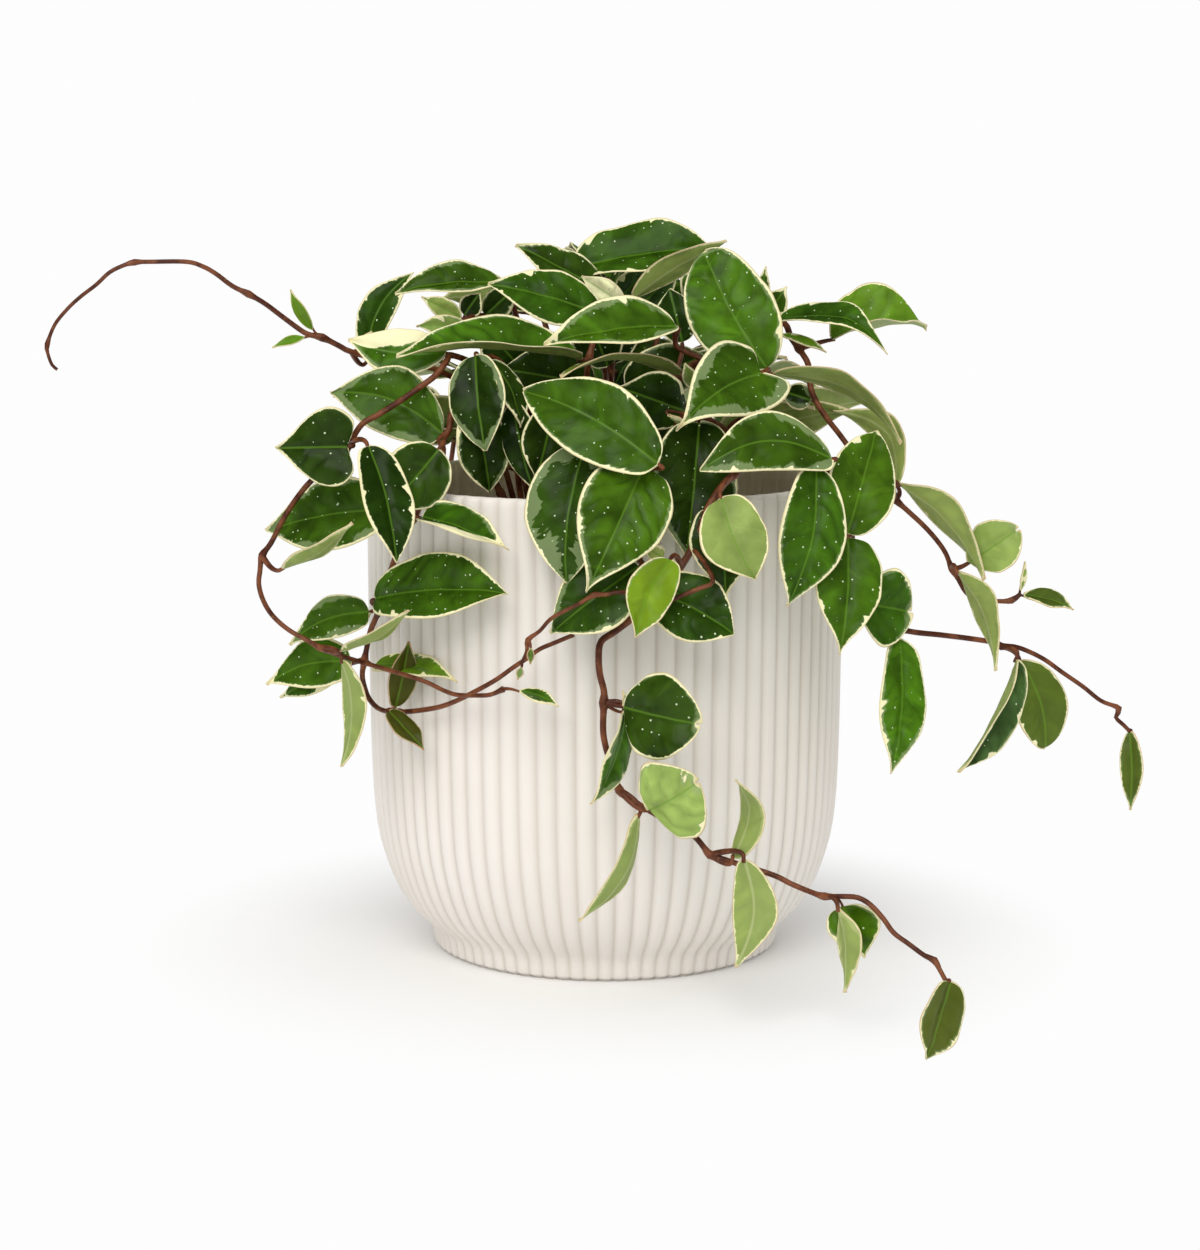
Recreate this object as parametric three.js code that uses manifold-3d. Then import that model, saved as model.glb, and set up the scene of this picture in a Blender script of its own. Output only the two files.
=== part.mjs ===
// Potted hoya: a fluted ceramic pot, soil, and leafy stems that trail over the rim.
// Millimetres, +Z up, the front towards -Y. The origin is the middle of the pot's foot.
import * as THREE from "three";
import Module from "manifold-3d";

const wasm = await Module();
wasm.setup();

// ---- Driving dimensions -------------------------------------------------------------------
const RIM_RADIUS = 90;
const POT_HEIGHT = 179.5;
const FLUTES = 78;
const FLUTE_DEPTH = 1.4;
const WALL = 5.4; // crest of a flute to the inside
const FLOOR = 9; // top of the pot's floor
const GAP = 0.3; // between solids that touch
const SOIL_TOP = 152;
const SOIL_EDGE = 149;
const STEM_HOLE_DEPTH = 14;
const BLADE = 1.5; // thickness of a leaf at its midrib
const PETIOLE = 1; // radius of a leaf stalk
const KNUCKLE = 1.55; // a joint on a stem, over the stem's radius

// Height above the foot and radius of the crests, up the outside.
const POT_PROFILE = [
  [0, RIM_RADIUS - 24.8],
  [8.5, RIM_RADIUS - 23.2],
  [19, RIM_RADIUS - 12],
  [44, RIM_RADIUS - 3.4],
  [POT_HEIGHT, RIM_RADIUS],
];

// ---- Places as seen from the front --------------------------------------------------------
// Stems and leaves are placed by [X, Z, y]: X and Z are where a point appears against the
// upright plane through the pot's axis, from the eye, and y is its real depth.
const EYE = new THREE.Vector3(-2, -1094, 287);

function seen([x, z, y]) {
  const s = (y - EYE.y) / -EYE.y;
  return new THREE.Vector3(EYE.x + (x - EYE.x) * s, y, EYE.z + (z - EYE.z) * s);
}

// ---- Solids -------------------------------------------------------------------------------
function solid(points, triangles) {
  const vertProperties = new Float32Array(points.flatMap((p) => [p.x, p.y, p.z]));
  const triVerts = new Uint32Array(triangles.flat());
  return new wasm.Manifold(new wasm.Mesh({ numProp: 3, vertProperties, triVerts }));
}

// Rings of points joined one to the next, with flat ends.
function loft(rings) {
  const n = rings[0].length;
  const triangles = [];
  for (let r = 0; r + 1 < rings.length; r++) {
    for (let i = 0; i < n; i++) {
      const [a, b] = [r * n + i, r * n + ((i + 1) % n)];
      triangles.push([a, b, b + n], [a, b + n, a + n]);
    }
  }
  const last = (rings.length - 1) * n;
  for (let i = 1; i + 1 < n; i++) {
    triangles.push([0, i + 1, i], [last, last + i, last + i + 1]);
  }
  return solid(rings.flat(), triangles);
}

function ring(count, radiusAt, z) {
  return Array.from({ length: count }, (_, i) => {
    const a = (i / count) * 2 * Math.PI;
    return new THREE.Vector3(Math.cos(a) * radiusAt(i), Math.sin(a) * radiusAt(i), z);
  });
}

// The biggest body of a solid, with its sealed hollows filled and loose scrap dropped.
function biggest(shape) {
  return shape.decompose().sort((a, b) => b.volume() - a.volume())[0];
}

function geometryOf(shape) {
  const mesh = shape.getMesh();
  return new THREE.BufferGeometry()
    .setAttribute("position", new THREE.BufferAttribute(mesh.vertProperties, 3))
    .setIndex(new THREE.BufferAttribute(mesh.triVerts, 1))
    .toNonIndexed();
}

// ---- Pot and soil -------------------------------------------------------------------------
function profileRadius(z) {
  const k = Math.max(1, POT_PROFILE.findIndex(([h]) => h >= z));
  const [[z0, r0], [z1, r1]] = [POT_PROFILE[k - 1], POT_PROFILE[k]];
  return r0 + ((r1 - r0) * (z - z0)) / (z1 - z0);
}

const CAVITY_HEIGHTS = [FLOOR, 20, 48, POT_HEIGHT];

function cavityRadius(z) {
  return profileRadius(z) - WALL;
}

// Strips and flat ends between rings of points; a ring may have several times the points of
// the next one, and each end closes on a point in its middle.
function vessel(rings) {
  const starts = [];
  const points = [];
  for (const r of rings) {
    starts.push(points.length);
    points.push(...r);
  }
  const triangles = [];
  for (let k = 0; k + 1 < rings.length; k++) {
    const [n, m] = [rings[k].length, rings[k + 1].length];
    const lower = (i) => starts[k] + (i % n);
    const upper = (i) => starts[k + 1] + (i % m);
    for (let i = 0; i < m; i++) {
      const step = n / m;
      for (let j = 0; j < step; j++) {
        triangles.push([lower(i * step + j), lower(i * step + j + 1), upper(i)]);
      }
      triangles.push([lower((i + 1) * step), upper(i + 1), upper(i)]);
    }
  }
  const ends = [
    [0, rings[0], (a, b, c) => [c, b, a]],
    [starts.at(-1), rings.at(-1), (a, b, c) => [c, a, b]],
  ];
  for (const [start, r, order] of ends) {
    const middle = points.length;
    points.push(new THREE.Vector3(0, 0, r[0].z));
    r.forEach((_, i) => triangles.push(order(start + i, start + ((i + 1) % r.length), middle)));
  }
  return solid(points, triangles);
}

function makePot() {
  const outside = POT_PROFILE.map(([z, r]) =>
    ring(2 * FLUTES, (i) => r - (i % 2) * FLUTE_DEPTH, z),
  );
  const inside = CAVITY_HEIGHTS.map((z) => ring(39, () => cavityRadius(z), z)).reverse();
  return vessel([...outside, ...inside]);
}

function makeSoil(stemFeet) {
  const heights = [...CAVITY_HEIGHTS.slice(0, -1), SOIL_EDGE];
  const side = heights.map((z, i) =>
    ring(20, () => cavityRadius(z) - 2 * GAP - 0.01 * (z - FLOOR), z + (i ? 0 : GAP)),
  );
  const crumbs = [60, 26].map((r, k) =>
    ring(20, () => r, SOIL_EDGE + 1 + k).map((p, i) => p.setZ(p.z + 0.9 * Math.sin(2.1 * i + 5 * k))),
  );
  let shape = loft([...side, ...crumbs]);
  for (const { x, y, radius } of stemFeet) {
    const hole = [SOIL_TOP - STEM_HOLE_DEPTH, SOIL_TOP + 6].map((z) =>
      ring(5, () => radius + GAP + 0.6, z).map((p) => p.add(new THREE.Vector3(x, y, 0))),
    );
    shape = shape.subtract(loft(hole));
  }
  return shape;
}

// ---- Stems --------------------------------------------------------------------------------
const ground = (x, y) => ({ x, y });

// The points of a shoot: out of the soil straight up, or from a point of another shoot.
function routeOf(shoot, shoots) {
  const { foot, from, points } = shoot;
  const route = points.map(seen);
  if (foot) {
    const low = new THREE.Vector3(foot.x, foot.y, SOIL_TOP - STEM_HOLE_DEPTH + GAP);
    route.unshift(low, low.clone().setZ(SOIL_TOP + 5));
  } else {
    route.unshift(seen(shoots[0].points[from]));
  }
  return route;
}

function turned(frame, direction) {
  const turn = new THREE.Quaternion().setFromUnitVectors(frame.along, direction);
  return {
    along: direction.clone(),
    side: frame.side.clone().applyQuaternion(turn),
    up: frame.up.clone().applyQuaternion(turn),
  };
}

function makeShoot(shoot, route) {
  const sides = 4;
  const [thick, thin] = shoot.radius;
  const knuckles = shoot.points.map((p) => (p[3] ? KNUCKLE : 1));
  const start = route.length - shoot.points.length;
  let frame = {
    along: new THREE.Vector3(0, 0, 1),
    side: new THREE.Vector3(1, 0, 0),
    up: new THREE.Vector3(0, 1, 0),
  };
  const rings = route.map((p, k) => {
    const before = route[Math.max(k - 1, 0)];
    const after = route[Math.min(k + 1, route.length - 1)];
    frame = turned(frame, after.clone().sub(before).normalize());
    const r = (thick + ((thin - thick) * k) / (route.length - 1)) * (knuckles[k - start] ?? 1);
    return Array.from({ length: sides }, (_, i) => {
      const a = (i / sides) * 2 * Math.PI;
      return p
        .clone()
        .addScaledVector(frame.side, r * Math.cos(a))
        .addScaledVector(frame.up, r * Math.sin(a));
    });
  });
  return loft(rings);
}

// ---- Leaves -------------------------------------------------------------------------------
// Half the width along a blade, 0 at its base to 1 at its tip, over the widest half width.
const OUTLINES = {
  ovate: (t) => Math.sin(Math.PI * t ** 0.68) ** (0.4 + 0.95 * t),
  elliptic: (t) => Math.sin(Math.PI * t ** 0.9) ** (0.45 + 0.7 * t),
  oval: (t) => Math.sin(Math.PI * t ** 0.92) ** (0.4 + 0.5 * t),
  blunt: (t) => Math.sin(Math.PI * t ** 0.95) ** 0.5,
  lance: (t) => Math.sin(Math.PI * t ** 0.85) ** (0.9 + 0.4 * t),
  heart: (t) => Math.sin(Math.PI * t ** 0.52) ** (0.7 + 0.7 * t),
  round: (t) => Math.sin(Math.PI * t ** 1.1) ** 0.55,
};
const LOBE = { heart: -0.16, round: 0.09 }; // edges behind the base, or past a notched tip

function bladeFrame(base, tip, face) {
  const along = tip.clone().sub(base).normalize();
  const up = face.clone().addScaledVector(along, -face.dot(along)).normalize();
  return { along, up, side: up.clone().cross(along) };
}

// Middle, left and right of the blade at t, on its upper side.
function bladeSection(leaf, base, tip, frame, t) {
  const { width, arch, fold, sway, hook, shape } = leaf;
  const bow = Math.sin(Math.PI * t);
  const drop = hook * Math.max(0, (t - 0.6) / 0.4) ** 2;
  const middle = base
    .clone()
    .lerp(tip, t)
    .addScaledVector(frame.up, arch * bow - drop)
    .addScaledVector(frame.side, sway * bow);
  const half = Math.max((width / 2) * OUTLINES[shape](t), 0.7);
  const length = base.distanceTo(tip);
  const lobe = LOBE[shape] ?? 0;
  const shift = lobe < 0 ? lobe * length * (1 - t) ** 3 : lobe * length * t ** 4;
  const edge = (sign) =>
    middle
      .clone()
      .addScaledVector(frame.side, sign * half * Math.cos(fold))
      .addScaledVector(frame.up, half * Math.sin(fold) + 0.04 * width * Math.sin(9 * t + sign))
      .addScaledVector(frame.along, t > 0 ? shift : 0);
  return [edge(1), middle, edge(-1)];
}

// A stalk from the stem, widening into a blade that is cut alike on both faces.
function makeLeaf(leaf, root) {
  const base = seen(leaf.base);
  const tip = seen(leaf.tip);
  const frame = bladeFrame(base, tip, new THREE.Vector3(...leaf.face));
  const small = base.distanceTo(tip) < 45.5;
  const steps = small ? [0.3, 0.7, 1] : [0.14, 0.42, 0.76, 1];
  const stalk = base.clone().sub(root).normalize();
  const bend = stalk.clone().add(frame.along);
  if (bend.length() < 0.3) bend.copy(frame.up);
  const rings = [
    stalkRing(root, turned(frame, stalk)),
    stalkRing(base, turned(frame, bend.normalize())),
  ];
  for (const t of steps) {
    const [left, middle, right] = bladeSection(leaf, base, tip, frame, t);
    const under = middle.clone().addScaledVector(frame.up, -BLADE);
    rings.push([left, middle, right, under]);
  }
  return bladeLoft(rings);
}

function stalkRing(centre, frame) {
  const corner = (axis, distance) => centre.clone().addScaledVector(axis, distance);
  return [
    corner(frame.side, PETIOLE),
    corner(frame.up, PETIOLE),
    corner(frame.side, -PETIOLE),
    corner(frame.up, -PETIOLE),
  ];
}

// Rings of left edge, midrib, right edge and underside, the same cuts above and below.
function bladeLoft(rings) {
  const upper = [[0, 1, 4], [1, 5, 4], [1, 2, 6], [1, 6, 5]];
  const below = { 0: 0, 1: 3, 2: 2, 4: 4, 5: 7, 6: 6 };
  const triangles = [[1, 0, 3], [2, 1, 3]];
  for (let r = 0; r + 1 < rings.length; r++) {
    for (const [i, j, k] of upper) {
      triangles.push([4 * r + i, 4 * r + j, 4 * r + k]);
      triangles.push([4 * r + below[k], 4 * r + below[j], 4 * r + below[i]]);
    }
  }
  const e = 4 * (rings.length - 1);
  triangles.push([e, e + 1, e + 3], [e + 1, e + 2, e + 3]);
  return solid(rings.flat(), triangles);
}

// One leafy stem: its shoots and their leaves joined into a solid.
function makeStem(shoots) {
  let shape;
  for (const shoot of shoots) {
    const route = routeOf(shoot, shoots);
    const start = route.length - shoot.points.length;
    const pieces = [makeShoot(shoot, route)];
    for (const leaf of shoot.leaves) pieces.push(makeLeaf(leaf, route[start + leaf.at]));
    for (const piece of pieces) shape = shape ? shape.add(piece) : piece;
  }
  return biggest(shape);
}

// ---- Leafy stems, read from the front -----------------------------------------------------
// A shoot's points are [X, Z, y], with a 1 after them at a knuckle, and radius goes from thick
// to thin. A leaf sits at one of its points, and face is where its upper side looks. Its midrib
// rises by arch and moves aside by sway in the middle, each half turns up by fold, and its tip
// bends down by hook.
const K = 1;
const FRONT = [0, -1, 0.15];

function leaf(at, base, tip, width, face, shape, arch = 2, fold = 0.12, sway = 0, hook = 0) {
  return { at, base, tip, width, face, shape, arch, fold, sway, hook };
}

const STEMS = {
  vine_long_tendril: [
    {
      foot: ground(-33, 26),
      radius: [1.2, 0.6],
      points: [
        [-46, 205, 22], [-62, 219, 13], [-80, 222, 4], [-95.5, 226.3, -2], [-100, 228.5, -3],
        [-106.5, 231.7, -4, K], [-112, 233, -5], [-116, 235.5, -5], [-122, 240, -6],
        [-128, 244.5, -7], [-134, 248, -8, K], [-140, 251, -9], [-146, 255.5, -10],
        [-151, 258.3, -11], [-157, 260, -12], [-170, 260, -14], [-176.5, 259.8, -15, K],
        [-181, 258.5, -16], [-186, 256, -17], [-191, 251.5, -18], [-197, 247, -18],
        [-202, 242.5, -19], [-207, 236.5, -19], [-210, 229.3, -20, K], [-210, 226, -20],
        [-208.5, 221.5, -20], [-206.5, 219.7, -20],
      ],
      leaves: [
        leaf(5, [-110, 234.5, -6], [-118.5, 249.5, -11], 6, [-0.5, -0.8, 0.3], "lance", 1),
        leaf(5, [-113, 232, -7], [-125.5, 228, -12], 4.5, [0, -0.8, 0.5], "lance", 1),
        leaf(3, [-90, 223, 6], [-72, 256.5, 10], 15, [-0.3, -0.95, 0.1], "elliptic", 3, 0.25, 4),
        leaf(3, [-91, 229, 2], [-88, 234, -6], 4, FRONT, "lance", 0.5),
      ],
    },
  ],
  vine_left_loop: [
    {
      foot: ground(-30, -8),
      radius: [1.2, 0.8],
      points: [
        [-38, 208, -26], [-47, 220, -40], [-57.5, 225, -50], [-60, 222.5, -55],
        [-64, 217.5, -58], [-70, 213, -60], [-78, 207.5, -62], [-86, 202.5, -64],
        [-92, 199, -65], [-96.5, 192, -65, K], [-99, 187, -64], [-105, 182, -63],
        [-111.5, 177.5, -62], [-117, 171, -61], [-122, 163.5, -59], [-127, 154, -56],
        [-130.5, 149, -55, K], [-131.5, 143, -54], [-132, 138, -53], [-130.5, 132, -53],
        [-127, 126, -53], [-121, 120.5, -54], [-114, 116.5, -56], [-109, 113.5, -58, K],
        [-103, 111, -60], [-95, 108.5, -65], [-85, 105.5, -72], [-75, 102.5, -79],
        [-68, 100, -82], [-62, 97, -85], [-57, 95.3, -88], [-50, 95, -92], [-44, 95.3, -95],
        [-39, 97.5, -97, K],
      ],
      leaves: [
        leaf(2, [-60, 226, -47], [-97, 231, -42], 19, [-0.1, -0.9, 0.4], "elliptic", 1, 0.1, 3),
        leaf(9, [-89.5, 191, -83], [-79, 146.5, -98], 20, [0.5, -0.86, 0.1], "oval", 3, 0.2),
        leaf(9, [-97.5, 190.5, -71], [-125, 190, -66], 29, [-0.3, -0.95, 0.1], "heart", 2, 0.1),
        leaf(16, [-123.5, 144.5, -62], [-96, 162.3, -80], 14, [-0.3, 0.4, 0.85], "lance", -2.5),
        leaf(23, [-101, 113, -66], [-75, 129, -94], 13, [-0.3, 0.4, 0.85], "lance", -3),
        leaf(23, [-100, 109, -66], [-101, 67, -72], 14, [0.75, 0.66, 0], "oval", 4, 0.1, -1),
        leaf(33, [-33, 97, -100], [-17.5, 91, -106], 8, [0, -0.5, 0.85], "lance", 1),
      ],
    },
  ],
  vine_left_front: [
    {
      foot: ground(-24, -22),
      radius: [1.3, 0.8],
      points: [
        [-35, 195, -36], [-46, 206, -44], [-55, 207, -53], [-58, 203, -57], [-59, 197, -60],
        [-62, 193, -62, K], [-61.5, 188, -66], [-65, 178, -72], [-69, 170, -73],
        [-73, 163, -70, K], [-80, 148, -63], [-86, 129, -52, K], [-88, 124, -49],
        [-90, 119, -46], [-92, 109, -43, K], [-93, 103, -43], [-92, 97.5, -46], [-90, 93, -50],
        [-86, 89.5, -56], [-79, 88.5, -63, K], [-66, 90, -75], [-58, 92.5, -82],
        [-50, 96.5, -87], [-42, 101, -92], [-35, 106, -96], [-29, 110, -98], [-25, 113, -99],
        [-18, 116, -101], [-12, 118.5, -102],
      ],
      leaves: [
        leaf(5, [-61.5, 195.5, -57], [-104, 211, -46.5], 26, [-0.3, -0.9, 0.3], "elliptic", 2, 0.08, -5),
        leaf(5, [-63, 189.5, -74], [-82, 167.5, -78], 25, [0.2, -1, 0.1], "oval", 2, 0.1),
        leaf(9, [-69.5, 163.8, -79], [-36.5, 152, -99], 19, [0.2, -0.6, 0.75], "ovate", 1, 0.5),
        leaf(9, [-79, 167, -65], [-129.5, 158.5, -45], 28, [-0.4, -0.85, 0.35], "elliptic", 3, 0.1, -1),
        leaf(11, [-88, 132.5, -62], [-38, 135, -96], 29, [-0.15, -0.82, 0.55], "oval", 2, 0.35, 1),
        leaf(11, [-90, 127.5, -48], [-121, 114.5, -36], 16.5, [-0.5, -0.8, 0.2], "ovate", 2, 0.1, -3),
        leaf(14, [-97, 108, -41], [-130, 99, -30], 20, [-0.5, -0.8, 0.3], "ovate", 2, 0.1, -3),
        leaf(14, [-101, 106, -33], [-125, 94, -20], 11, [-0.5, -0.85, 0.1], "ovate", 2),
        leaf(14, [-88, 107, -50], [-57, 101, -79], 13, [0.1, -0.7, 0.7], "ovate", 1, 0.2, 2),
        leaf(19, [-80.5, 90.5, -66], [-75, 116, -66], 11, [0.35, -0.93, 0], "elliptic", 1, 0.2),
        leaf(19, [-83, 89, -66], [-69.5, 74, -78], 10.5, [0.3, -0.6, 0.75], "elliptic", 1, 0.2, -1),
      ],
    },
  ],
  vine_front: [
    {
      foot: ground(14, -34),
      radius: [1.4, 0.8],
      points: [
        [28, 200, -46], [42, 199, -58], [50, 190, -77], [49.5, 181, -89, K],
        [45, 176.5, -93], [40, 169, -97], [36, 160, -99], [33, 152, -100], [29, 145, -101],
        [24, 138, -101], [14, 128, -101], [4, 120, -101], [-1.5, 116, -102],
        [-2.5, 110, -103], [-2, 103, -104], [-0.5, 97, -105], [-0.5, 92, -106, K],
        [-0.8, 82, -107], [0, 76, -108], [2, 69, -109], [5.5, 58, -110, K], [12, 53, -112],
        [17, 50, -113], [24, 46, -114], [32.5, 41.5, -116], [37, 37, -117],
        [40.5, 32.5, -118, K], [45, 31, -119], [51, 29, -120], [65, 24.5, -124],
        [72, 21, -126], [79, 18, -129], [85, 16, -132, K], [92, 16, -134], [98, 15.5, -136],
        [103, 12.5, -138], [108, 7, -141], [112, 1.5, -144], [118, -3, -147],
        [124, -7.5, -150], [128, -9.5, -152, K], [130, -13, -154], [133, -18.5, -156],
      ],
      leaves: [
        leaf(3, [44, 171, -104], [57.3, 140, -112], 25, [0.25, -0.96, 0.1], "oval", 3, 0.15, -2.5),
        leaf(5, [44, 168, -96], [46, 132.5, -100], 24, FRONT, "ovate", 2),
        leaf(8, [25, 147.5, -114], [11.8, 117.3, -125], 18, [0.25, -0.96, 0.1], "elliptic", 2, 0.25, -3),
        leaf(8, [22, 148, -104], [14, 153.5, -106], 7, FRONT, "ovate", 1),
        leaf(9, [17, 135.5, -103], [49.3, 118.8, -110], 26, [0.1, -0.9, 0.4], "oval", 2, 0.1, 1),
        leaf(16, [7, 90.5, -110], [34.5, 84, -124], 31, [-0.2, -0.97, 0.1], "round", 2, 0.1),
        leaf(16, [8, 89, -109], [-5, 52, -121], 20, [0.9, -0.43, 0], "lance", 2, 0.2),
        leaf(16, [7.5, 90, -107], [7, 97, -110], 3, [0.8, -0.6, 0], "lance", 0.5),
        leaf(20, [12.5, 48.5, -113], [-11, 6.5, -121], 14, [-0.8, 0.55, 0.2], "lance", -7, 0.2),
        leaf(20, [17, 50, -117], [34.8, 60.5, -125], 32, [0, -1, 0], "round", 2, 0.1),
        leaf(26, [50, 31, -121], [50.5, 62.3, -130], 15, [0.8, 0.6, 0], "elliptic", 7.5, 0.2, -1),
        leaf(26, [54, 31, -124], [51, -12.3, -133], 17, [0.4, 0.9, 0], "elliptic", 3, 0.1, -4),
        leaf(32, [91, 11.5, -137], [93.5, -22.5, -145], 16, [0.88, 0.47, 0], "lance", 2, 0.2),
        leaf(32, [92, 12, -131], [101, -8.5, -132], 19, [-0.3, -0.95, 0], "ovate", 2, 0.1, 2),
        leaf(42, [134.5, -18, -156], [125.8, -49.6, -164.5], 20, [0.55, -0.83, 0], "oval", 1, 0.2, -1),
      ],
    },
    {
      from: 7,
      radius: [0.85, 0.65],
      points: [
        [38, 146, -106], [41, 139, -111], [36, 136.5, -112], [30, 134, -112],
        [22, 131, -113], [14, 133, -114], [6, 135, -115], [0, 134, -115], [-4, 134, -115, K],
        [-10, 130.5, -115], [-16, 127.5, -115], [-21, 124.5, -114], [-25, 120, -113],
        [-29.5, 116.5, -112, K], [-30, 112, -112], [-32, 107.5, -111],
      ],
      leaves: [],
    },
  ],
  vine_right: [
    {
      foot: ground(26, 15),
      radius: [1.3, 0.8],
      points: [
        [45, 205, 24], [57, 228, 14], [66.5, 237, 1], [70, 231.5, -6], [73, 227.5, -10, K],
        [74, 226, -12], [76.5, 221.5, -15], [77.5, 213, -19], [80, 207, -23], [84, 201, -27],
        [88, 196, -31], [91, 192, -34], [99, 181, -38], [110, 170.5, -41, K],
        [115, 166, -42], [121, 160.5, -43], [126, 155, -43], [129.5, 150, -44],
        [132, 144, -44, K], [134.5, 140, -44], [137.5, 135, -44], [142, 132, -44],
        [150, 131.5, -44], [155, 131.8, -44, K], [158, 134, -44],
      ],
      leaves: [
        leaf(1, [60, 244, 3], [60, 258.5, -2], 6, [-0.5, -0.85, 0], "lance", 1),
        leaf(1, [61, 240, 10], [68, 251, 8], 11, FRONT, "ovate", 1),
        leaf(2, [65, 238.5, -10], [104, 237, -34], 18, [0, -0.5, 0.87], "elliptic", 2, 0.3, 0, 12),
        leaf(3, [66, 233, -12], [83.5, 226.5, -18], 6, [0, -0.5, 0.8], "lance", 1),
        leaf(4, [85, 231.5, -9], [121, 237.5, -2], 37, [0, -0.5, 0.87], "elliptic", 2, 0.7, 0, 2),
        leaf(8, [78, 208, -18], [65, 212, -14], 11, FRONT, "ovate", 1),
        leaf(13, [111, 176, -36], [86.5, 204.5, -20], 15, [0.3, 0.8, 0.5], "elliptic", 8, 0.1, 6),
        leaf(13, [111.5, 177, -46], [145, 140, -53], 20, [0.5, 0.55, 0.65], "lance", 2, 0.2, -4),
        leaf(18, [138.5, 146.3, -48], [156, 158.5, -52], 20, FRONT, "round", 1),
        leaf(18, [134.5, 143.5, -50], [150, 104.5, -70], 17, [0.92, 0.4, 0], "lance", 2, 0.2, -3),
        leaf(24, [159.5, 134, -45], [179, 128.5, -50], 13, [0, -0.4, 0.9], "lance", 1, 0.2),
        leaf(24, [158.5, 135.5, -45], [160, 146.8, -46], 3.5, [0.6, -0.8, 0], "lance", 0.5),
      ],
    },
  ],
  vine_lower_right: [
    {
      foot: ground(31, -25),
      radius: [1.3, 0.75],
      points: [
        [46, 196, -50], [62, 200, -62], [74, 193, -69], [82, 184.5, -73, K], [89, 170, -71],
        [93, 157, -68, K], [97, 144, -66], [98, 133, -64, K], [106, 125, -61],
        [112.5, 121, -59, K], [118.5, 119.5, -58], [128, 118.5, -56], [140, 117, -55],
        [149, 115.5, -54], [151.5, 114, -54, K], [156, 114, -54], [161, 112.5, -53],
        [168, 109, -53], [175, 104, -52], [183, 98.5, -52], [190, 93, -51], [197, 90, -50, K],
        [196, 86.5, -50], [199, 83.5, -50], [201.5, 81, -50],
      ],
      leaves: [
        leaf(3, [86, 186, -86], [36, 181.5, -98], 21.5, [0, -1, 0.25], "oval", 2, 0.1, -8),
        leaf(3, [80, 183, -86], [69.7, 129.3, -98], 25.5, [0.25, -0.95, 0.15], "elliptic", 2, 0.1, 3),
        leaf(5, [92, 157.5, -80], [102.5, 197, -60], 26.5, [0.3, -0.93, 0.2], "oval", 2, 0.1, 0.5),
        leaf(5, [92.3, 156, -80], [90, 110.8, -94], 26, [0.2, -0.97, 0.1], "ovate", 2, 0.1, 0.5),
        leaf(7, [97, 131, -72], [116, 127.5, -66], 29, [0.35, -0.93, 0.1], "round", 1),
        leaf(9, [112.5, 117, -66], [110.5, 64.3, -82], 21, [0.45, -0.88, 0.1], "elliptic", 2, 0.15, 1),
        leaf(14, [158, 109, -60], [136.5, 64.5, -72], 22, [0.85, -0.3, 0.3], "elliptic", 2, 0.6),
        leaf(14, [159, 108.5, -56], [169.5, 74.5, -58], 21.5, [0.3, -0.95, 0], "blunt", 2, 0.1, 2),
        leaf(24, [201.5, 81, -50], [202.5, 50, -56], 9.5, [-0.5, -0.86, 0], "elliptic", 2, 0.2, 1.5),
      ],
    },
  ],
  stem_front: [
    {
      foot: ground(0, -34),
      radius: [1.6, 1],
      points: [
        [4, 190, -62], [8, 198, -78], [13, 192, -91, K], [17, 183, -98, K], [15, 170, -99],
        [13, 156, -100], [13, 147, -101, K],
      ],
      leaves: [
        leaf(2, [-7, 192, -92], [-15, 138.5, -106], 33, [-0.3, -0.94, 0.15], "oval", 2, 0.08, -2),
        leaf(3, [14.5, 183, -101], [-7, 135, -120], 33, [0.1, -0.97, 0.2], "ovate", 3, 0.08, 0),
        leaf(3, [20, 184, -111], [-31.5, 212, -88], 29, [-0.1, -0.93, 0.35], "oval", 3, 0.08, -2.5),
        leaf(6, [13, 145, -105], [-21, 119, -107], 27, [-0.2, -0.9, 0.35], "elliptic", 2, 0.1),
      ],
    },
  ],
  stem_front_right: [
    {
      foot: ground(20, -20),
      radius: [1.4, 1.1],
      points: [[30, 198, -50], [36, 201, -62, K], [37, 201, -67]],
      leaves: [
        leaf(2, [35.5, 200, -70], [31, 149, -98], 32, [0.12, -1, 0.15], "oval", 2, 0.05),
        leaf(1, [24, 203, -64], [37.5, 188.5, -70], 7, [0.3, 0.5, 0.8], "lance", 1),
      ],
    },
  ],
  stem_right_top: [
    {
      foot: ground(27, -5),
      radius: [1.6, 1.2],
      points: [[40, 206, -20], [53, 214, -34], [61, 219.5, -44, K]],
      leaves: [
        leaf(2, [61, 220, -46], [36.8, 264, -32], 33, [0, -1, 0.3], "blunt", 3, 0.05, 2),
        leaf(2, [59, 218.5, -54], [27.5, 197.5, -88], 31, [0, -0.95, 0.3], "heart", 2, 0.08, -2.5),
        leaf(2, [63, 218.5, -47], [112.5, 192.5, -52], 18, [0, 0.42, 0.9], "elliptic", 9, 0.1),
      ],
    },
  ],
  stem_centre_high: [
    {
      foot: ground(11, -14),
      radius: [1.5, 0.9],
      points: [
        [22, 206, -18], [32, 220, -24, K], [36, 223.5, -30], [29, 227, -38], [26.5, 229, -41],
        [26.5, 233, -43, K],
      ],
      leaves: [
        leaf(5, [27, 236, -45], [-23, 229.5, -64], 26, [0, -0.7, 0.7], "elliptic", 2, 0.45),
        leaf(1, [28, 218, -36], [-17, 218, -72], 19, [0.1, 0.3, 0.95], "elliptic", 6, 0.1),
        leaf(0, [30, 204, -40], [5, 213, -58], 22, FRONT, "elliptic", 1),
        leaf(0, [29, 230, -10], [24, 250, -7], 16, FRONT, "oval", 1),
        leaf(1, [33, 213, -36], [30, 222, -42], 6, FRONT, "elliptic", 0.5),
      ],
    },
  ],
  stem_left_high: [
    {
      foot: ground(-10, -6),
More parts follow.
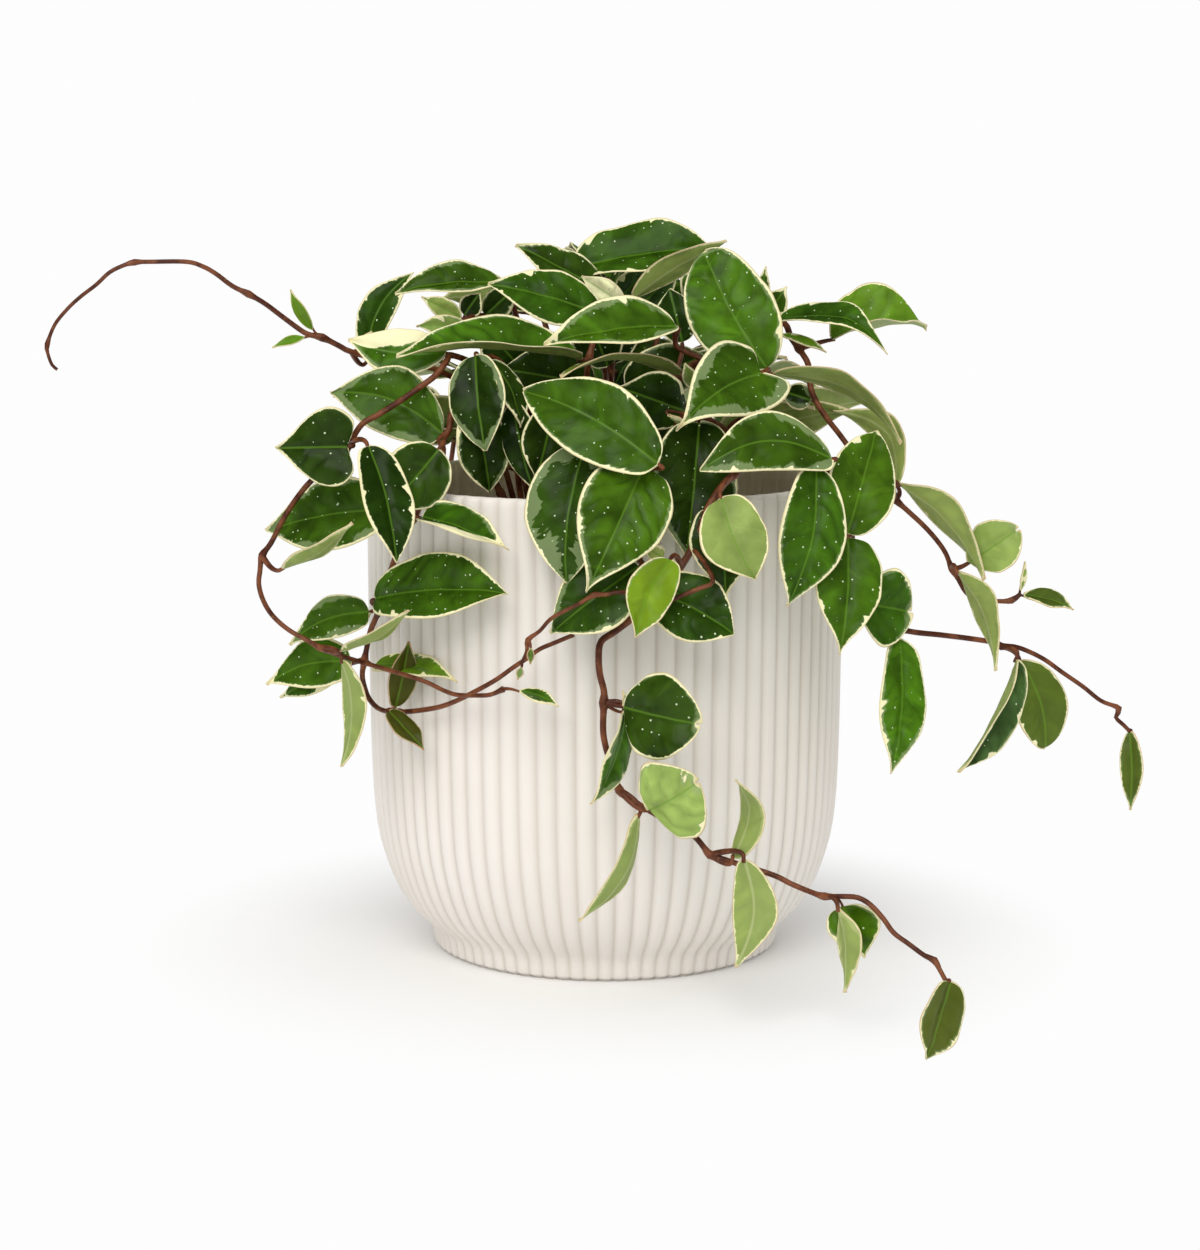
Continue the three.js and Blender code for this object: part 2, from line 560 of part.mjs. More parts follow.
      radius: [1.5, 1],
      points: [[-8, 205, -12], [-6, 224, -20, K], [-2, 238, -14, K]],
      leaves: [
        leaf(1, [-9, 224, -27], [-78.5, 226, -60], 28, [0, -0.42, 0.9], "elliptic", 3, 0.62),
        leaf(2, [-1, 240, -15], [-44, 252, -20], 24, [0, -0.8, 0.6], "elliptic", 2, 0.12, 0),
      ],
    },
  ],
  stem_crown: [
    {
      foot: ground(3, 12),
      radius: [1.6, 1],
      points: [[2, 215, 12], [4, 240, 14, K], [0, 254, 16, K]],
      leaves: [
        leaf(1, [0, 249, 8], [-33.5, 266.5, 2], 19, [0, -0.75, 0.65], "elliptic", 2, 0.1, 1.5),
        leaf(2, [-11.5, 257.5, 18], [41, 265, 14], 30, [0, -0.7, 0.7], "oval", 2, 0.42),
        leaf(1, [10, 247, 4], [45.5, 268.3, -6], 13, [0.1, 0.6, 0.75], "elliptic", 2, 0.1),
        leaf(1, [5, 246, 22], [17, 258, 26], 12, FRONT, "ovate", 1),
        leaf(1, [14, 244, 20], [28, 259, 28], 12, FRONT, "ovate", 1),
        leaf(1, [7, 244, 2], [-9, 254.5, -2], 10, FRONT, "elliptic", 1),
        leaf(0, [-4, 214, 6], [-39, 220, 0], 24, FRONT, "oval", 1),
        leaf(0, [8, 213, 7], [38, 225, 4], 22, FRONT, "oval", 1),
        leaf(0, [1, 221, 5], [-9, 245, 2], 20, FRONT, "oval", 1),
      ],
    },
  ],
  stem_left_back: [
    {
      foot: ground(-18, 14),
      radius: [1.5, 1],
      points: [[-26, 215, 14], [-33, 238, 10], [-36, 249, 6, K]],
      leaves: [
        leaf(2, [-39, 252, 2], [-79, 248.5, -8], 20, [0, -0.6, 0.8], "elliptic", 2, 0.38),
        leaf(1, [-45, 240, 0], [-34, 250, -6], 12, FRONT, "oval", 1),
        leaf(0, [-28, 216, 8], [-47, 237, 3], 20, FRONT, "oval", 1),
        leaf(0, [-29, 213, 8], [-49, 200, 8], 20, FRONT, "oval", 1),
      ],
    },
    {
      from: 1,
      radius: [0.9, 0.8],
      points: [[-44, 240, 2], [-50, 240, -6, K]],
      leaves: [
        leaf(1, [-54, 239, -10], [-69, 247, -16], 8, FRONT, "elliptic", 1),
        leaf(1, [-53, 236.5, -10], [-71, 236, -18], 8, FRONT, "elliptic", 1),
        leaf(1, [-53, 240, -4], [-47, 248.5, -7], 10, FRONT, "elliptic", 1),
      ],
    },
  ],
  stem_front_left: [
    {
      foot: ground(-14, -26),
      radius: [1.5, 1],
      points: [[-24, 200, -44], [-33, 214, -48], [-41, 223.5, -52], [-48, 224, -56, K]],
      leaves: [
        leaf(3, [-49, 225, -60], [-45.5, 189, -71], 22, [-0.25, -0.95, 0], "oval", 2, 0.15),
        leaf(2, [-43, 223.5, -57], [-31.5, 198, -66], 16, [0.8, -0.58, 0], "elliptic", 2, 0.15),
        leaf(0, [-50, 207, -62], [-43.7, 173.2, -60], 20, [0.3, -0.95, 0.1], "oval", 2, 0.1),
        leaf(0, [-35, 207, -60], [-28, 175.5, -66], 15, [-0.4, -0.9, 0], "oval", 1, 0.1),
        leaf(0, [-20, 205, -62], [-26, 178.5, -70], 19, [0.3, -0.95, 0], "oval", 1, 0.1),
      ],
    },
  ],
};

// ---- Leafy stems behind ---------------------------------------------------------------------
// Short stems fan out over the back, with leaves in pairs placed by rule from a seeded number.
function seededNumbers(seed) {
  let state = seed;
  return () => {
    state = (state * 1664525 + 1013904223) % 4294967296;
    return state / 4294967296;
  };
}

// The front view of a real point.
function asSeen(p) {
  const s = -EYE.y / (p.y - EYE.y);
  return [EYE.x + (p.x - EYE.x) * s, EYE.z + (p.z - EYE.z) * s, p.y];
}

const LOW = { reach: 74, rise: 36, drop: 0, tip: 0.25, joints: [0.4, 1] };
const HIGH = { start: 20, reach: 46, rise: 82, drop: 0, tip: 0.1, joints: [0.3, 0.62, 1] };
const TRAILING = { start: 48, reach: 100, rise: 71, drop: 66, tip: -0.9, joints: [0.3, 0.62, 1] };
const INNER = { start: 22, reach: 52, rise: 36, drop: 0, tip: 0.2, joints: [0.3, 0.62, 1] };
const BACK_STEMS = [
  { ...LOW, name: "stem_back_1", turn: 32, start: 44 },
  { ...TRAILING, name: "stem_back_2", turn: 52 },
  { ...LOW, name: "stem_back_3", turn: 71, start: 40 },
  { ...TRAILING, name: "stem_back_4", turn: 90, reach: 106, drop: 84 },
  { ...LOW, name: "stem_back_5", turn: 110, start: 40 },
  { ...TRAILING, name: "stem_back_6", turn: 130 },
  { ...LOW, name: "stem_back_7", turn: 150, start: 42 },
  { ...HIGH, name: "stem_high_1", turn: 50 },
  { ...HIGH, name: "stem_high_2", turn: 90, start: 24, rise: 92 },
  { ...HIGH, name: "stem_high_3", turn: 130 },
  { ...INNER, name: "stem_inner_right", turn: 4 },
  { ...INNER, name: "stem_inner_left", turn: 181 },
];

// The height rises to the middle of the stem and falls towards its end.
function backPoint({ turn, start, reach, rise, drop }, f) {
  const a = (turn * Math.PI) / 180 + 0.05 * Math.sin(5 * f + turn);
  const out = start + (reach - start) * f;
  const height = SOIL_TOP + 6 + rise * Math.sin((Math.PI / 2) * Math.min(1.5 * f, 1));
  const fall = drop * Math.max(f - 0.45, 0) ** 1.3 * 2.2;
  return new THREE.Vector3(Math.cos(a) * out, Math.sin(a) * out, height - fall);
}

function backStem(row, random) {
  const a = (row.turn * Math.PI) / 180;
  const out = new THREE.Vector3(Math.cos(a), Math.sin(a), 0);
  const across = new THREE.Vector3(-out.y, out.x, 0);
  const points = [0.15, ...row.joints].map((f) => [...asSeen(backPoint(row, f)), K]);
  const leaves = [];
  row.joints.forEach((f, k) => {
    const outer = k / (row.joints.length - 1);
    const joint = backPoint(row, f);
    for (const sign of [1, -1]) {
      const length = 38 + 8 * random();
      const heading = out
        .clone()
        .multiplyScalar(0.9 + 0.4 * random())
        .addScaledVector(across, sign * (0.5 + 0.1 * random()))
        .setZ(0.45 + (row.tip - 0.45) * outer + 0.12 * random())
        .normalize();
      const base = joint.clone().addScaledVector(heading, 5);
      const tip = joint.clone().addScaledVector(heading, length);
      const face = [out.x * (0.4 + 0.8 * outer), out.y * (0.4 + 0.8 * outer), 1.1 - 0.4 * outer];
      leaves.push(leaf(k + 1, asSeen(base), asSeen(tip), 22, face, "ovate", 4, 0.12));
    }
  });
  const foot = ground(out.x * (row.start - 4), out.y * (row.start - 4));
  return [{ foot, radius: [1.5, 1], points, leaves }];
}

const random = seededNumbers(7);
for (const row of BACK_STEMS) STEMS[row.name] = backStem(row, random);

// ---- The plant ------------------------------------------------------------------------------
const CERAMIC = { color: 0xe9e4dc, roughness: 0.6, metalness: 0 };
const EARTH = { color: 0x4a3a2a, roughness: 0.95, metalness: 0 };
const GREEN = { color: 0x3a6b25, roughness: 0.45, metalness: 0 };

const plant = new THREE.Group();

function addPart(name, shape, look) {
  const mesh = new THREE.Mesh(geometryOf(shape), new THREE.MeshStandardMaterial(look));
  mesh.name = name;
  plant.add(mesh);
}

const feet = Object.values(STEMS).map(([{ foot, radius }]) => ({ ...foot, radius: radius[0] }));
addPart("pot", makePot(), CERAMIC);
addPart("soil", makeSoil(feet), EARTH);
for (const [name, shoots] of Object.entries(STEMS)) addPart(name, makeStem(shoots), GREEN);

export default plant;
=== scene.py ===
"""Potted hoya: a fluted ceramic pot, soil, and leafy stems that trail over its rim."""

import math
import random
from types import SimpleNamespace

import bmesh
import bpy
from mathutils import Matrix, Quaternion, Vector, noise


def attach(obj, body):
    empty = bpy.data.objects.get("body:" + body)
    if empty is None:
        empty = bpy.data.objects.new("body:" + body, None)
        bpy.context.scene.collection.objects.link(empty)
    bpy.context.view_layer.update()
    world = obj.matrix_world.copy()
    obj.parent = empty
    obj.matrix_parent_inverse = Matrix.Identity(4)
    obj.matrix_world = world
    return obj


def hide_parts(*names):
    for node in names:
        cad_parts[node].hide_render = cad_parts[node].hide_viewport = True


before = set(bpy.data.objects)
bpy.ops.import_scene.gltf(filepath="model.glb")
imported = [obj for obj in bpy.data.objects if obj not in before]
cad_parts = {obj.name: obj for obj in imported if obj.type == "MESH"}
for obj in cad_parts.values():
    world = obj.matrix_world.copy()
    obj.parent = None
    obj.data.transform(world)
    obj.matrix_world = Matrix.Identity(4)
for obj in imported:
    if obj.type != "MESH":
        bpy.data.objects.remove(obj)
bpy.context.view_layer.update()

MM = 0.001

# ---- Sizes of the pot and soil, in millimetres ----
RIM_RADIUS = 90
POT_HEIGHT = 179.5
LIP = 2.2  # half the thickness of the rounded rim
LIP_RISE = 2.5  # and its height
LIP_STEPS = 9
FLUTES = 78
FLUTE_DEPTH = 1.4
FLUTE_STEPS = 8  # points round each flute
FOOT_HEIGHT = 14  # where the flutes have grown to their depth
WALL = 5.4
FLOOR = 9
SOIL_TOP = 152
CRUMBS = 240
STEM_HOLE_DEPTH = 14
KNUCKLE = 1.55  # how much a stem is swollen where leaves sit
KNUCKLE_REACH = 2.0  # and how far from there the swelling has mostly gone

# Height, radius and depth of the flutes round the foot, which has a small undercut.
FOOT_ROWS = [(0, 60, 0), (0, 64.2, 0.8), (0.9, 64.4, 0.9)]
# Height and radius of the crests up the outside, and heights down the inside.
POT_OUTSIDE = [
    (1.2, 65.8), (2, 66.2), (4.5, 66.6), (6.5, 66.9), (8.5, 67.6), (10.5, 69.0), (12.5, 71.2),
    (14.5, 73.4), (17, 75.7), (20, 77.9), (23.5, 80.0), (27.5, 81.9), (32, 83.6), (37, 85.2),
    (42, 86.5), (48, 87.6), (54, 88.3), (62, 88.9), (72, 89.3), (84, 89.6), (100, 89.8),
    (120, 90.0), (140, 90.1), (160, 90.1), (172, 90.0), (176, 90),
]
INSIDE_HEIGHTS = (176, 172, 164, 150, 130, 100, 70, 48, 34, 24, 16, 12)
INSIDE_DEPTH = 1.2  # of the faint flutes on the inside
INSIDE_FADE = 6  # rows from the top of the rim until the inside has its own colour
INSIDE_EASE = 0.4  # their crests cut this far into the wall, and the soil stops this far off it
FLOOR_ROWS = [(FLOOR + 0.6, 60, 0), (FLOOR, 57, 0), (FLOOR, 40, 0)]

# ---- Places as seen from the front ----
# Stems and leaves are placed by [X, Z, y]: X and Z are where a point appears against the
# upright plane through the pot's axis, from the eye, and y is its real depth.
EYE = Vector((-2, -1094, 287))


def seen(place):
    x, z, y = place[:3]
    s = (y - EYE.y) / -EYE.y
    return Vector((EYE.x + (x - EYE.x) * s, y, EYE.z + (z - EYE.z) * s))


def as_seen(p):
    s = -EYE.y / (p.y - EYE.y)
    return [EYE.x + (p.x - EYE.x) * s, EYE.z + (p.z - EYE.z) * s, p.y]


# ---- Leafy stems, read from the front ----
# A shoot starts at its foot in the soil, or at a point of its stem's first shoot. Its points
# are [X, Z, y], with K after them at a knuckle, and radius goes from thick to thin. Its leaves
# are [at, base, tip, width, face, shape, arch, fold, sway, hook]: a leaf sits at one of the
# points, and face is where its upper side looks. Its midrib rises by arch and moves aside by
# sway in the middle, each half turns up by fold, and its tip bends down by hook.
K = 1
FRONT = [0, -1, 0.15]  # a face towards the eye
STEMS = {}


def leaf(at, base, tip, width, face, shape, arch=2, fold=0.12, sway=0, hook=0):
    return dict(at=at, base=base, tip=tip, width=width, face=face, shape=shape, arch=arch,
                fold=fold, sway=sway, hook=hook)


def add_shoot(stem, leaves, **parts):
    STEMS.setdefault(stem, []).append(dict(parts, leaves=[leaf(*row) for row in leaves]))


add_shoot("vine_long_tendril", foot=(-33, 26), radius=(1.2, 0.6), points=[
    [-46, 205, 22], [-62, 219, 13], [-80, 222, 4], [-95.5, 226.3, -2], [-100, 228.5, -3],
    [-106.5, 231.7, -4, K], [-112, 233, -5], [-116, 235.5, -5], [-122, 240, -6], [-128, 244.5, -7],
    [-134, 248, -8, K], [-140, 251, -9], [-146, 255.5, -10], [-151, 258.3, -11], [-157, 260, -12],
    [-170, 260, -14], [-176.5, 259.8, -15, K], [-181, 258.5, -16], [-186, 256, -17],
    [-191, 251.5, -18], [-197, 247, -18], [-202, 242.5, -19], [-207, 236.5, -19],
    [-210, 229.3, -20, K], [-210, 226, -20], [-208.5, 221.5, -20], [-206.5, 219.7, -20],
], leaves=[
    [5, [-110, 234.5, -6], [-118.5, 249.5, -11], 6, [-0.5, -0.8, 0.3], "lance", 1],
    [5, [-113, 232, -7], [-125.5, 228, -12], 4.5, [0, -0.8, 0.5], "lance", 1],
    [3, [-90, 223, 6], [-72, 256.5, 10], 15, [-0.3, -0.95, 0.1], "elliptic", 3, 0.25, 4],
    [3, [-91, 229, 2], [-88, 234, -6], 4, FRONT, "lance", 0.5],
])
add_shoot("vine_left_loop", foot=(-30, -8), radius=(1.2, 0.8), points=[
    [-38, 208, -26], [-47, 220, -40], [-57.5, 225, -50], [-60, 222.5, -55], [-64, 217.5, -58],
    [-70, 213, -60], [-78, 207.5, -62], [-86, 202.5, -64], [-92, 199, -65], [-96.5, 192, -65, K],
    [-99, 187, -64], [-105, 182, -63], [-111.5, 177.5, -62], [-117, 171, -61], [-122, 163.5, -59],
    [-127, 154, -56], [-130.5, 149, -55, K], [-131.5, 143, -54], [-132, 138, -53],
    [-130.5, 132, -53], [-127, 126, -53], [-121, 120.5, -54], [-114, 116.5, -56],
    [-109, 113.5, -58, K], [-103, 111, -60], [-95, 108.5, -65], [-85, 105.5, -72],
    [-75, 102.5, -79], [-68, 100, -82], [-62, 97, -85], [-57, 95.3, -88], [-50, 95, -92],
    [-44, 95.3, -95], [-39, 97.5, -97, K],
], leaves=[
    [2, [-60, 226, -47], [-97, 231, -42], 19, [-0.1, -0.9, 0.4], "elliptic", 1, 0.1, 3],
    [9, [-89.5, 191, -83], [-79, 146.5, -98], 20, [0.5, -0.86, 0.1], "oval", 3, 0.2],
    [9, [-97.5, 190.5, -71], [-125, 190, -66], 29, [-0.3, -0.95, 0.1], "heart", 2, 0.1],
    [16, [-123.5, 144.5, -62], [-96, 162.3, -80], 14, [-0.3, 0.4, 0.85], "lance", -2.5],
    [23, [-101, 113, -66], [-75, 129, -94], 13, [-0.3, 0.4, 0.85], "lance", -3],
    [23, [-100, 109, -66], [-101, 67, -72], 14, [0.75, 0.66, 0], "oval", 4, 0.1, -1],
    [33, [-33, 97, -100], [-17.5, 91, -106], 8, [0, -0.5, 0.85], "lance", 1],
])
add_shoot("vine_left_front", foot=(-24, -22), radius=(1.3, 0.8), points=[
    [-35, 195, -36], [-46, 206, -44], [-55, 207, -53], [-58, 203, -57], [-59, 197, -60],
    [-62, 193, -62, K], [-61.5, 188, -66], [-65, 178, -72], [-69, 170, -73], [-73, 163, -70, K],
    [-80, 148, -63], [-86, 129, -52, K], [-88, 124, -49], [-90, 119, -46], [-92, 109, -43, K],
    [-93, 103, -43], [-92, 97.5, -46], [-90, 93, -50], [-86, 89.5, -56], [-79, 88.5, -63, K],
    [-66, 90, -75], [-58, 92.5, -82], [-50, 96.5, -87], [-42, 101, -92], [-35, 106, -96],
    [-29, 110, -98], [-25, 113, -99], [-18, 116, -101], [-12, 118.5, -102],
], leaves=[
    [5, [-61.5, 195.5, -59], [-104, 211, -49], 26, [-0.3, -0.9, 0.3], "elliptic", 2, 0.08, -5],
    [5, [-63, 189.5, -74], [-82, 167.5, -78], 25, [0.2, -1, 0.1], "oval", 2, 0.1],
    [9, [-69.5, 163.8, -79], [-36.5, 152, -99], 19, [0.2, -0.6, 0.75], "ovate", 1, 0.5],
    [9, [-79, 167, -65], [-129.5, 158.5, -45], 28, [-0.4, -0.85, 0.35], "elliptic", 3, 0.1, -1],
    [11, [-88, 132.5, -62], [-38, 135, -96], 29, [-0.15, -0.82, 0.55], "oval", 2, 0.35, 1],
    [11, [-90, 127.5, -48], [-121, 114.5, -36], 16.5, [-0.5, -0.8, 0.2], "ovate", 2, 0.1, -3],
    [14, [-97, 108, -41], [-130, 99, -30], 20, [-0.5, -0.8, 0.3], "ovate", 2, 0.1, -3],
    [14, [-101, 106, -33], [-125, 94, -20], 11, [-0.5, -0.85, 0.1], "ovate"],
    [14, [-88, 107, -53], [-57, 101, -83], 13, [0.1, -0.7, 0.7], "ovate", 1, 0.2, 2],
    [19, [-80.5, 90.5, -66], [-75, 116, -66], 11, [0.35, -0.93, 0], "elliptic", 1, 0.2],
    [19, [-83, 89, -66], [-69.5, 74, -78], 10.5, [0.3, -0.6, 0.75], "elliptic", 1, 0.2, -1],
])
add_shoot("vine_front", foot=(14, -34), radius=(1.4, 0.8), points=[
    [28, 200, -46], [42, 199, -58], [50, 190, -77], [49.5, 181, -89, K], [45, 176.5, -93],
    [40, 169, -97], [36, 160, -99], [33, 152, -100], [29, 145, -101], [24, 138, -101],
    [14, 128, -101], [4, 120, -101], [-1.5, 116, -102], [-2.5, 110, -103], [-2, 103, -104],
    [-0.5, 97, -105], [-0.5, 92, -106, K], [-0.8, 82, -107], [0, 76, -108], [2, 69, -109],
    [5.5, 58, -110, K], [12, 53, -112], [17, 50, -113], [24, 46, -114], [32.5, 41.5, -116],
    [37, 37, -117], [40.5, 32.5, -118, K], [45, 31, -119], [51, 29, -120], [65, 24.5, -124],
    [72, 21, -126], [79, 18, -129], [85, 16, -132, K], [92, 16, -134], [98, 15.5, -136],
    [103, 12.5, -138], [108, 7, -141], [112, 1.5, -144], [118, -3, -147], [124, -7.5, -150],
    [128, -9.5, -152, K], [130, -13, -154], [133, -18.5, -156],
], leaves=[
    [3, [44, 171, -104], [57.3, 140, -112], 25, [0.25, -0.96, 0.1], "oval", 3, 0.15, -2.5],
    [5, [44, 168, -96], [46, 132.5, -100], 24, FRONT, "ovate"],
    [8, [25, 147.5, -114], [11.8, 117.3, -125], 18, [0.25, -0.96, 0.1], "elliptic", 2, 0.25, -3],
    [8, [22, 148, -104], [14, 153.5, -106], 7, FRONT, "ovate", 1],
    [9, [17, 135.5, -103], [49.3, 118.8, -110], 26, [0.1, -0.9, 0.4], "oval", 2, 0.1, 1],
    [16, [7, 90.5, -110], [34.5, 84, -124], 31, [-0.2, -0.97, 0.1], "round", 2, 0.1],
    [16, [8, 89, -109], [-5, 52, -121], 20, [0.9, -0.43, 0], "lance", 2, 0.2],
    [16, [7.5, 90, -107], [7, 97, -110], 3, [0.8, -0.6, 0], "lance", 0.5],
    [20, [12.5, 48.5, -113], [-11, 6.5, -121], 14, [-0.8, 0.55, 0.2], "lance", -7, 0.2],
    [20, [17, 50, -117], [34.8, 60.5, -125], 32, [0, -1, 0], "round", 2, 0.1],
    [26, [50, 31, -121], [50.5, 62.3, -130], 15, [0.8, 0.6, 0], "elliptic", 7.5, 0.2, -1],
    [26, [54, 31, -124], [51, -12.3, -133], 17, [0.4, 0.9, 0], "elliptic", 3, 0.1, -4],
    [32, [91, 11.5, -137], [93.5, -22.5, -145], 16, [0.88, 0.47, 0], "lance", 2, 0.2],
    [32, [92, 12, -131], [101, -8.5, -132], 19, [-0.3, -0.95, 0], "ovate", 2, 0.1, 2],
    [42, [134.5, -18, -156], [125.8, -49.6, -164.5], 20, [0.55, -0.83, 0], "oval", 1, 0.2, -1],
])
add_shoot("vine_front", start=7, radius=(0.85, 0.65), points=[
    [38, 146, -106], [41, 139, -111], [36, 136.5, -112], [30, 134, -112], [22, 131, -113],
    [14, 133, -114], [6, 135, -115], [0, 134, -115], [-4, 134, -115, K], [-10, 130.5, -115],
    [-16, 127.5, -115], [-21, 124.5, -114], [-25, 120, -113], [-29.5, 116.5, -112, K],
    [-30, 112, -112], [-32, 107.5, -111],
], leaves=[
    [13, [-28.5, 113.5, -114], [-28.5, 107, -115], 3, FRONT, "lance", 0.4],
    [15, [-32, 106, -111], [-33.5, 101, -112], 3, FRONT, "lance", 0.4],
])
add_shoot("vine_right", foot=(26, 15), radius=(1.3, 0.8), points=[
    [45, 205, 24], [57, 228, 14], [66.5, 237, 1], [70, 231.5, -6], [73, 227.5, -10, K],
    [74, 226, -12], [76.5, 221.5, -15], [77.5, 213, -19], [80, 207, -23], [84, 201, -27],
    [88, 196, -31], [91, 192, -34], [99, 181, -38], [110, 170.5, -41, K], [115, 166, -42],
    [121, 160.5, -43], [126, 155, -43], [129.5, 150, -44], [132, 144, -44, K], [134.5, 140, -44],
    [137.5, 135, -44], [142, 132, -44], [150, 131.5, -44], [155, 131.8, -44, K], [158, 134, -44],
], leaves=[
    [1, [60, 244, 3], [60, 258.5, -2], 6, [-0.5, -0.85, 0], "lance", 1],
    [1, [61, 240, 10], [68, 251, 8], 11, FRONT, "ovate", 1],
    [2, [65, 238.5, -10], [104, 237, -34], 18, [0, -0.5, 0.87], "elliptic", 2, 0.3, 0, 12],
    [3, [66, 233, -12], [83.5, 226.5, -18], 6, [0, -0.5, 0.8], "lance", 1],
    [4, [85, 231.5, -9], [121, 237.5, -2], 37, [0, -0.5, 0.87], "elliptic", 2, 0.7, 0, 2],
    [8, [78, 208, -18], [65, 212, -14], 11, FRONT, "ovate", 1],
    [13, [111, 176, -36], [86.5, 204.5, -20], 15, [0.3, 0.8, 0.5], "elliptic", 8, 0.1, 6],
    [13, [111.5, 177, -46], [145, 140, -53], 20, [0.5, 0.55, 0.65], "lance", 2, 0.2, -4],
    [18, [138.5, 146.3, -48], [156, 158.5, -52], 20, FRONT, "round", 1],
    [18, [134.5, 143.5, -50], [150, 104.5, -70], 17, [0.92, 0.4, 0], "lance", 2, 0.2, -3],
    [24, [159.5, 134, -45], [179, 128.5, -50], 13, [0, -0.4, 0.9], "lance", 1, 0.2],
    [24, [158.5, 135.5, -45], [160, 146.8, -46], 3.5, [0.6, -0.8, 0], "lance", 0.5],
])
add_shoot("vine_lower_right", foot=(31, -25), radius=(1.3, 0.75), points=[
    [46, 196, -50], [62, 200, -62], [74, 193, -69], [82, 184.5, -73, K], [89, 170, -71],
    [93, 157, -68, K], [97, 144, -66], [98, 133, -64, K], [106, 125, -61], [112.5, 121, -59, K],
    [118.5, 119.5, -58], [128, 118.5, -56], [140, 117, -55], [149, 115.5, -54],
    [151.5, 114, -54, K], [156, 114, -54], [161, 112.5, -53], [168, 109, -53], [175, 104, -52],
    [183, 98.5, -52], [190, 93, -51], [197, 90, -50, K], [196, 86.5, -50], [199, 83.5, -50],
    [201.5, 81, -50],
], leaves=[
    [3, [86, 186, -86], [36, 181.5, -98], 21.5, [0, -1, 0.25], "oval", 2, 0.1, -8],
    [3, [80, 183, -86], [69.7, 129.3, -98], 25.5, [0.25, -0.95, 0.15], "elliptic", 2, 0.1, 3],
    [5, [92, 157.5, -80], [102.5, 197, -60], 26.5, [0.3, -0.93, 0.2], "oval", 2, 0.1, 0.5],
    [5, [92.3, 156, -80], [90, 110.8, -94], 26, [0.2, -0.97, 0.1], "ovate", 2, 0.1, 0.5],
    [7, [97, 131, -72], [116, 127.5, -66], 29, [0.35, -0.93, 0.1], "round", 1],
    [9, [112.5, 117, -66], [110.5, 64.3, -82], 21, [0.45, -0.88, 0.1], "elliptic", 2, 0.15, 1],
    [14, [158, 109, -60], [136.5, 64.5, -72], 22, [0.85, -0.3, 0.3], "elliptic", 2, 0.6],
    [14, [159, 108.5, -56], [169.5, 74.5, -58], 21.5, [0.3, -0.95, 0], "blunt", 2, 0.1, 2],
    [24, [201.5, 81, -50], [202.5, 50, -56], 9.5, [-0.5, -0.86, 0], "elliptic", 2, 0.2, 1.5],
])
add_shoot("stem_front", foot=(0, -34), radius=(1.6, 1), points=[
    [4, 190, -62], [8, 198, -78], [13, 192, -91, K], [17, 183, -98, K], [15, 170, -99],
    [13, 156, -100], [13, 147, -101, K],
], leaves=[
    [2, [-7, 192, -92], [-15, 138.5, -106], 33, [-0.3, -0.94, 0.15], "oval", 2, 0.08, -2],
    [3, [14.5, 183, -101], [-7, 135, -120], 33, [0.1, -0.97, 0.2], "ovate", 3, 0.08],
    [3, [20, 184, -111], [-31.5, 212, -88], 29, [-0.1, -0.93, 0.35], "oval", 3, 0.08, -2.5],
    [6, [13, 145, -105], [-21, 119, -107], 27, [-0.2, -0.9, 0.35], "elliptic", 2, 0.1],
])
add_shoot("stem_front_right", foot=(20, -20), radius=(1.4, 1.1), points=[
    [30, 198, -50], [36, 201, -62, K], [37, 201, -67],
], leaves=[
    [2, [35.5, 200, -70], [31, 149, -98], 32, [0.12, -1, 0.15], "oval", 2, 0.05],
    [1, [24, 203, -64], [37.5, 188.5, -70], 7, [0.3, 0.5, 0.8], "lance", 1],
])
add_shoot("stem_right_top", foot=(27, -5), radius=(1.6, 1.2), points=[
    [40, 206, -20], [53, 214, -34], [61, 219.5, -44, K],
], leaves=[
    [2, [61, 220, -46], [36.8, 264, -32], 33, [0, -1, 0.3], "blunt", 3, 0.05, 2],
    [2, [59, 218.5, -54], [27.5, 197.5, -88], 31, [0, -0.95, 0.3], "heart", 2, 0.08, -2.5],
    [2, [63, 218.5, -47], [112.5, 192.5, -52], 18, [0, 0.42, 0.9], "elliptic", 9, 0.1],
])
add_shoot("stem_centre_high", foot=(11, -14), radius=(1.5, 0.9), points=[
    [22, 206, -18], [32, 220, -24, K], [36, 223.5, -30], [29, 227, -38], [26.5, 229, -41],
    [26.5, 233, -43, K],
], leaves=[
    [5, [27, 236, -45], [-23, 229.5, -64], 26, [0, -0.7, 0.7], "elliptic", 2, 0.45],
    [1, [28, 218, -36], [-17, 218, -72], 19, [0.1, 0.3, 0.95], "elliptic", 6, 0.1],
    [0, [30, 204, -39], [5, 213, -57], 22, FRONT, "elliptic", 1],
    [0, [29, 230, -10], [24, 250, -7], 16, FRONT, "oval", 1],
    [1, [33, 213, -36], [30, 222, -42], 6, FRONT, "elliptic", 0.5],
])
add_shoot("stem_left_high", foot=(-10, -6), radius=(1.5, 1), points=[
    [-8, 205, -12], [-6, 224, -20, K], [-2, 238, -14, K],
], leaves=[
    [1, [-9, 224, -27], [-78.5, 226, -60], 28, [0, -0.42, 0.9], "elliptic", 3, 0.62],
    [2, [-1, 240, -15], [-44, 252, -20], 24, [0, -0.8, 0.6], "elliptic"],
])
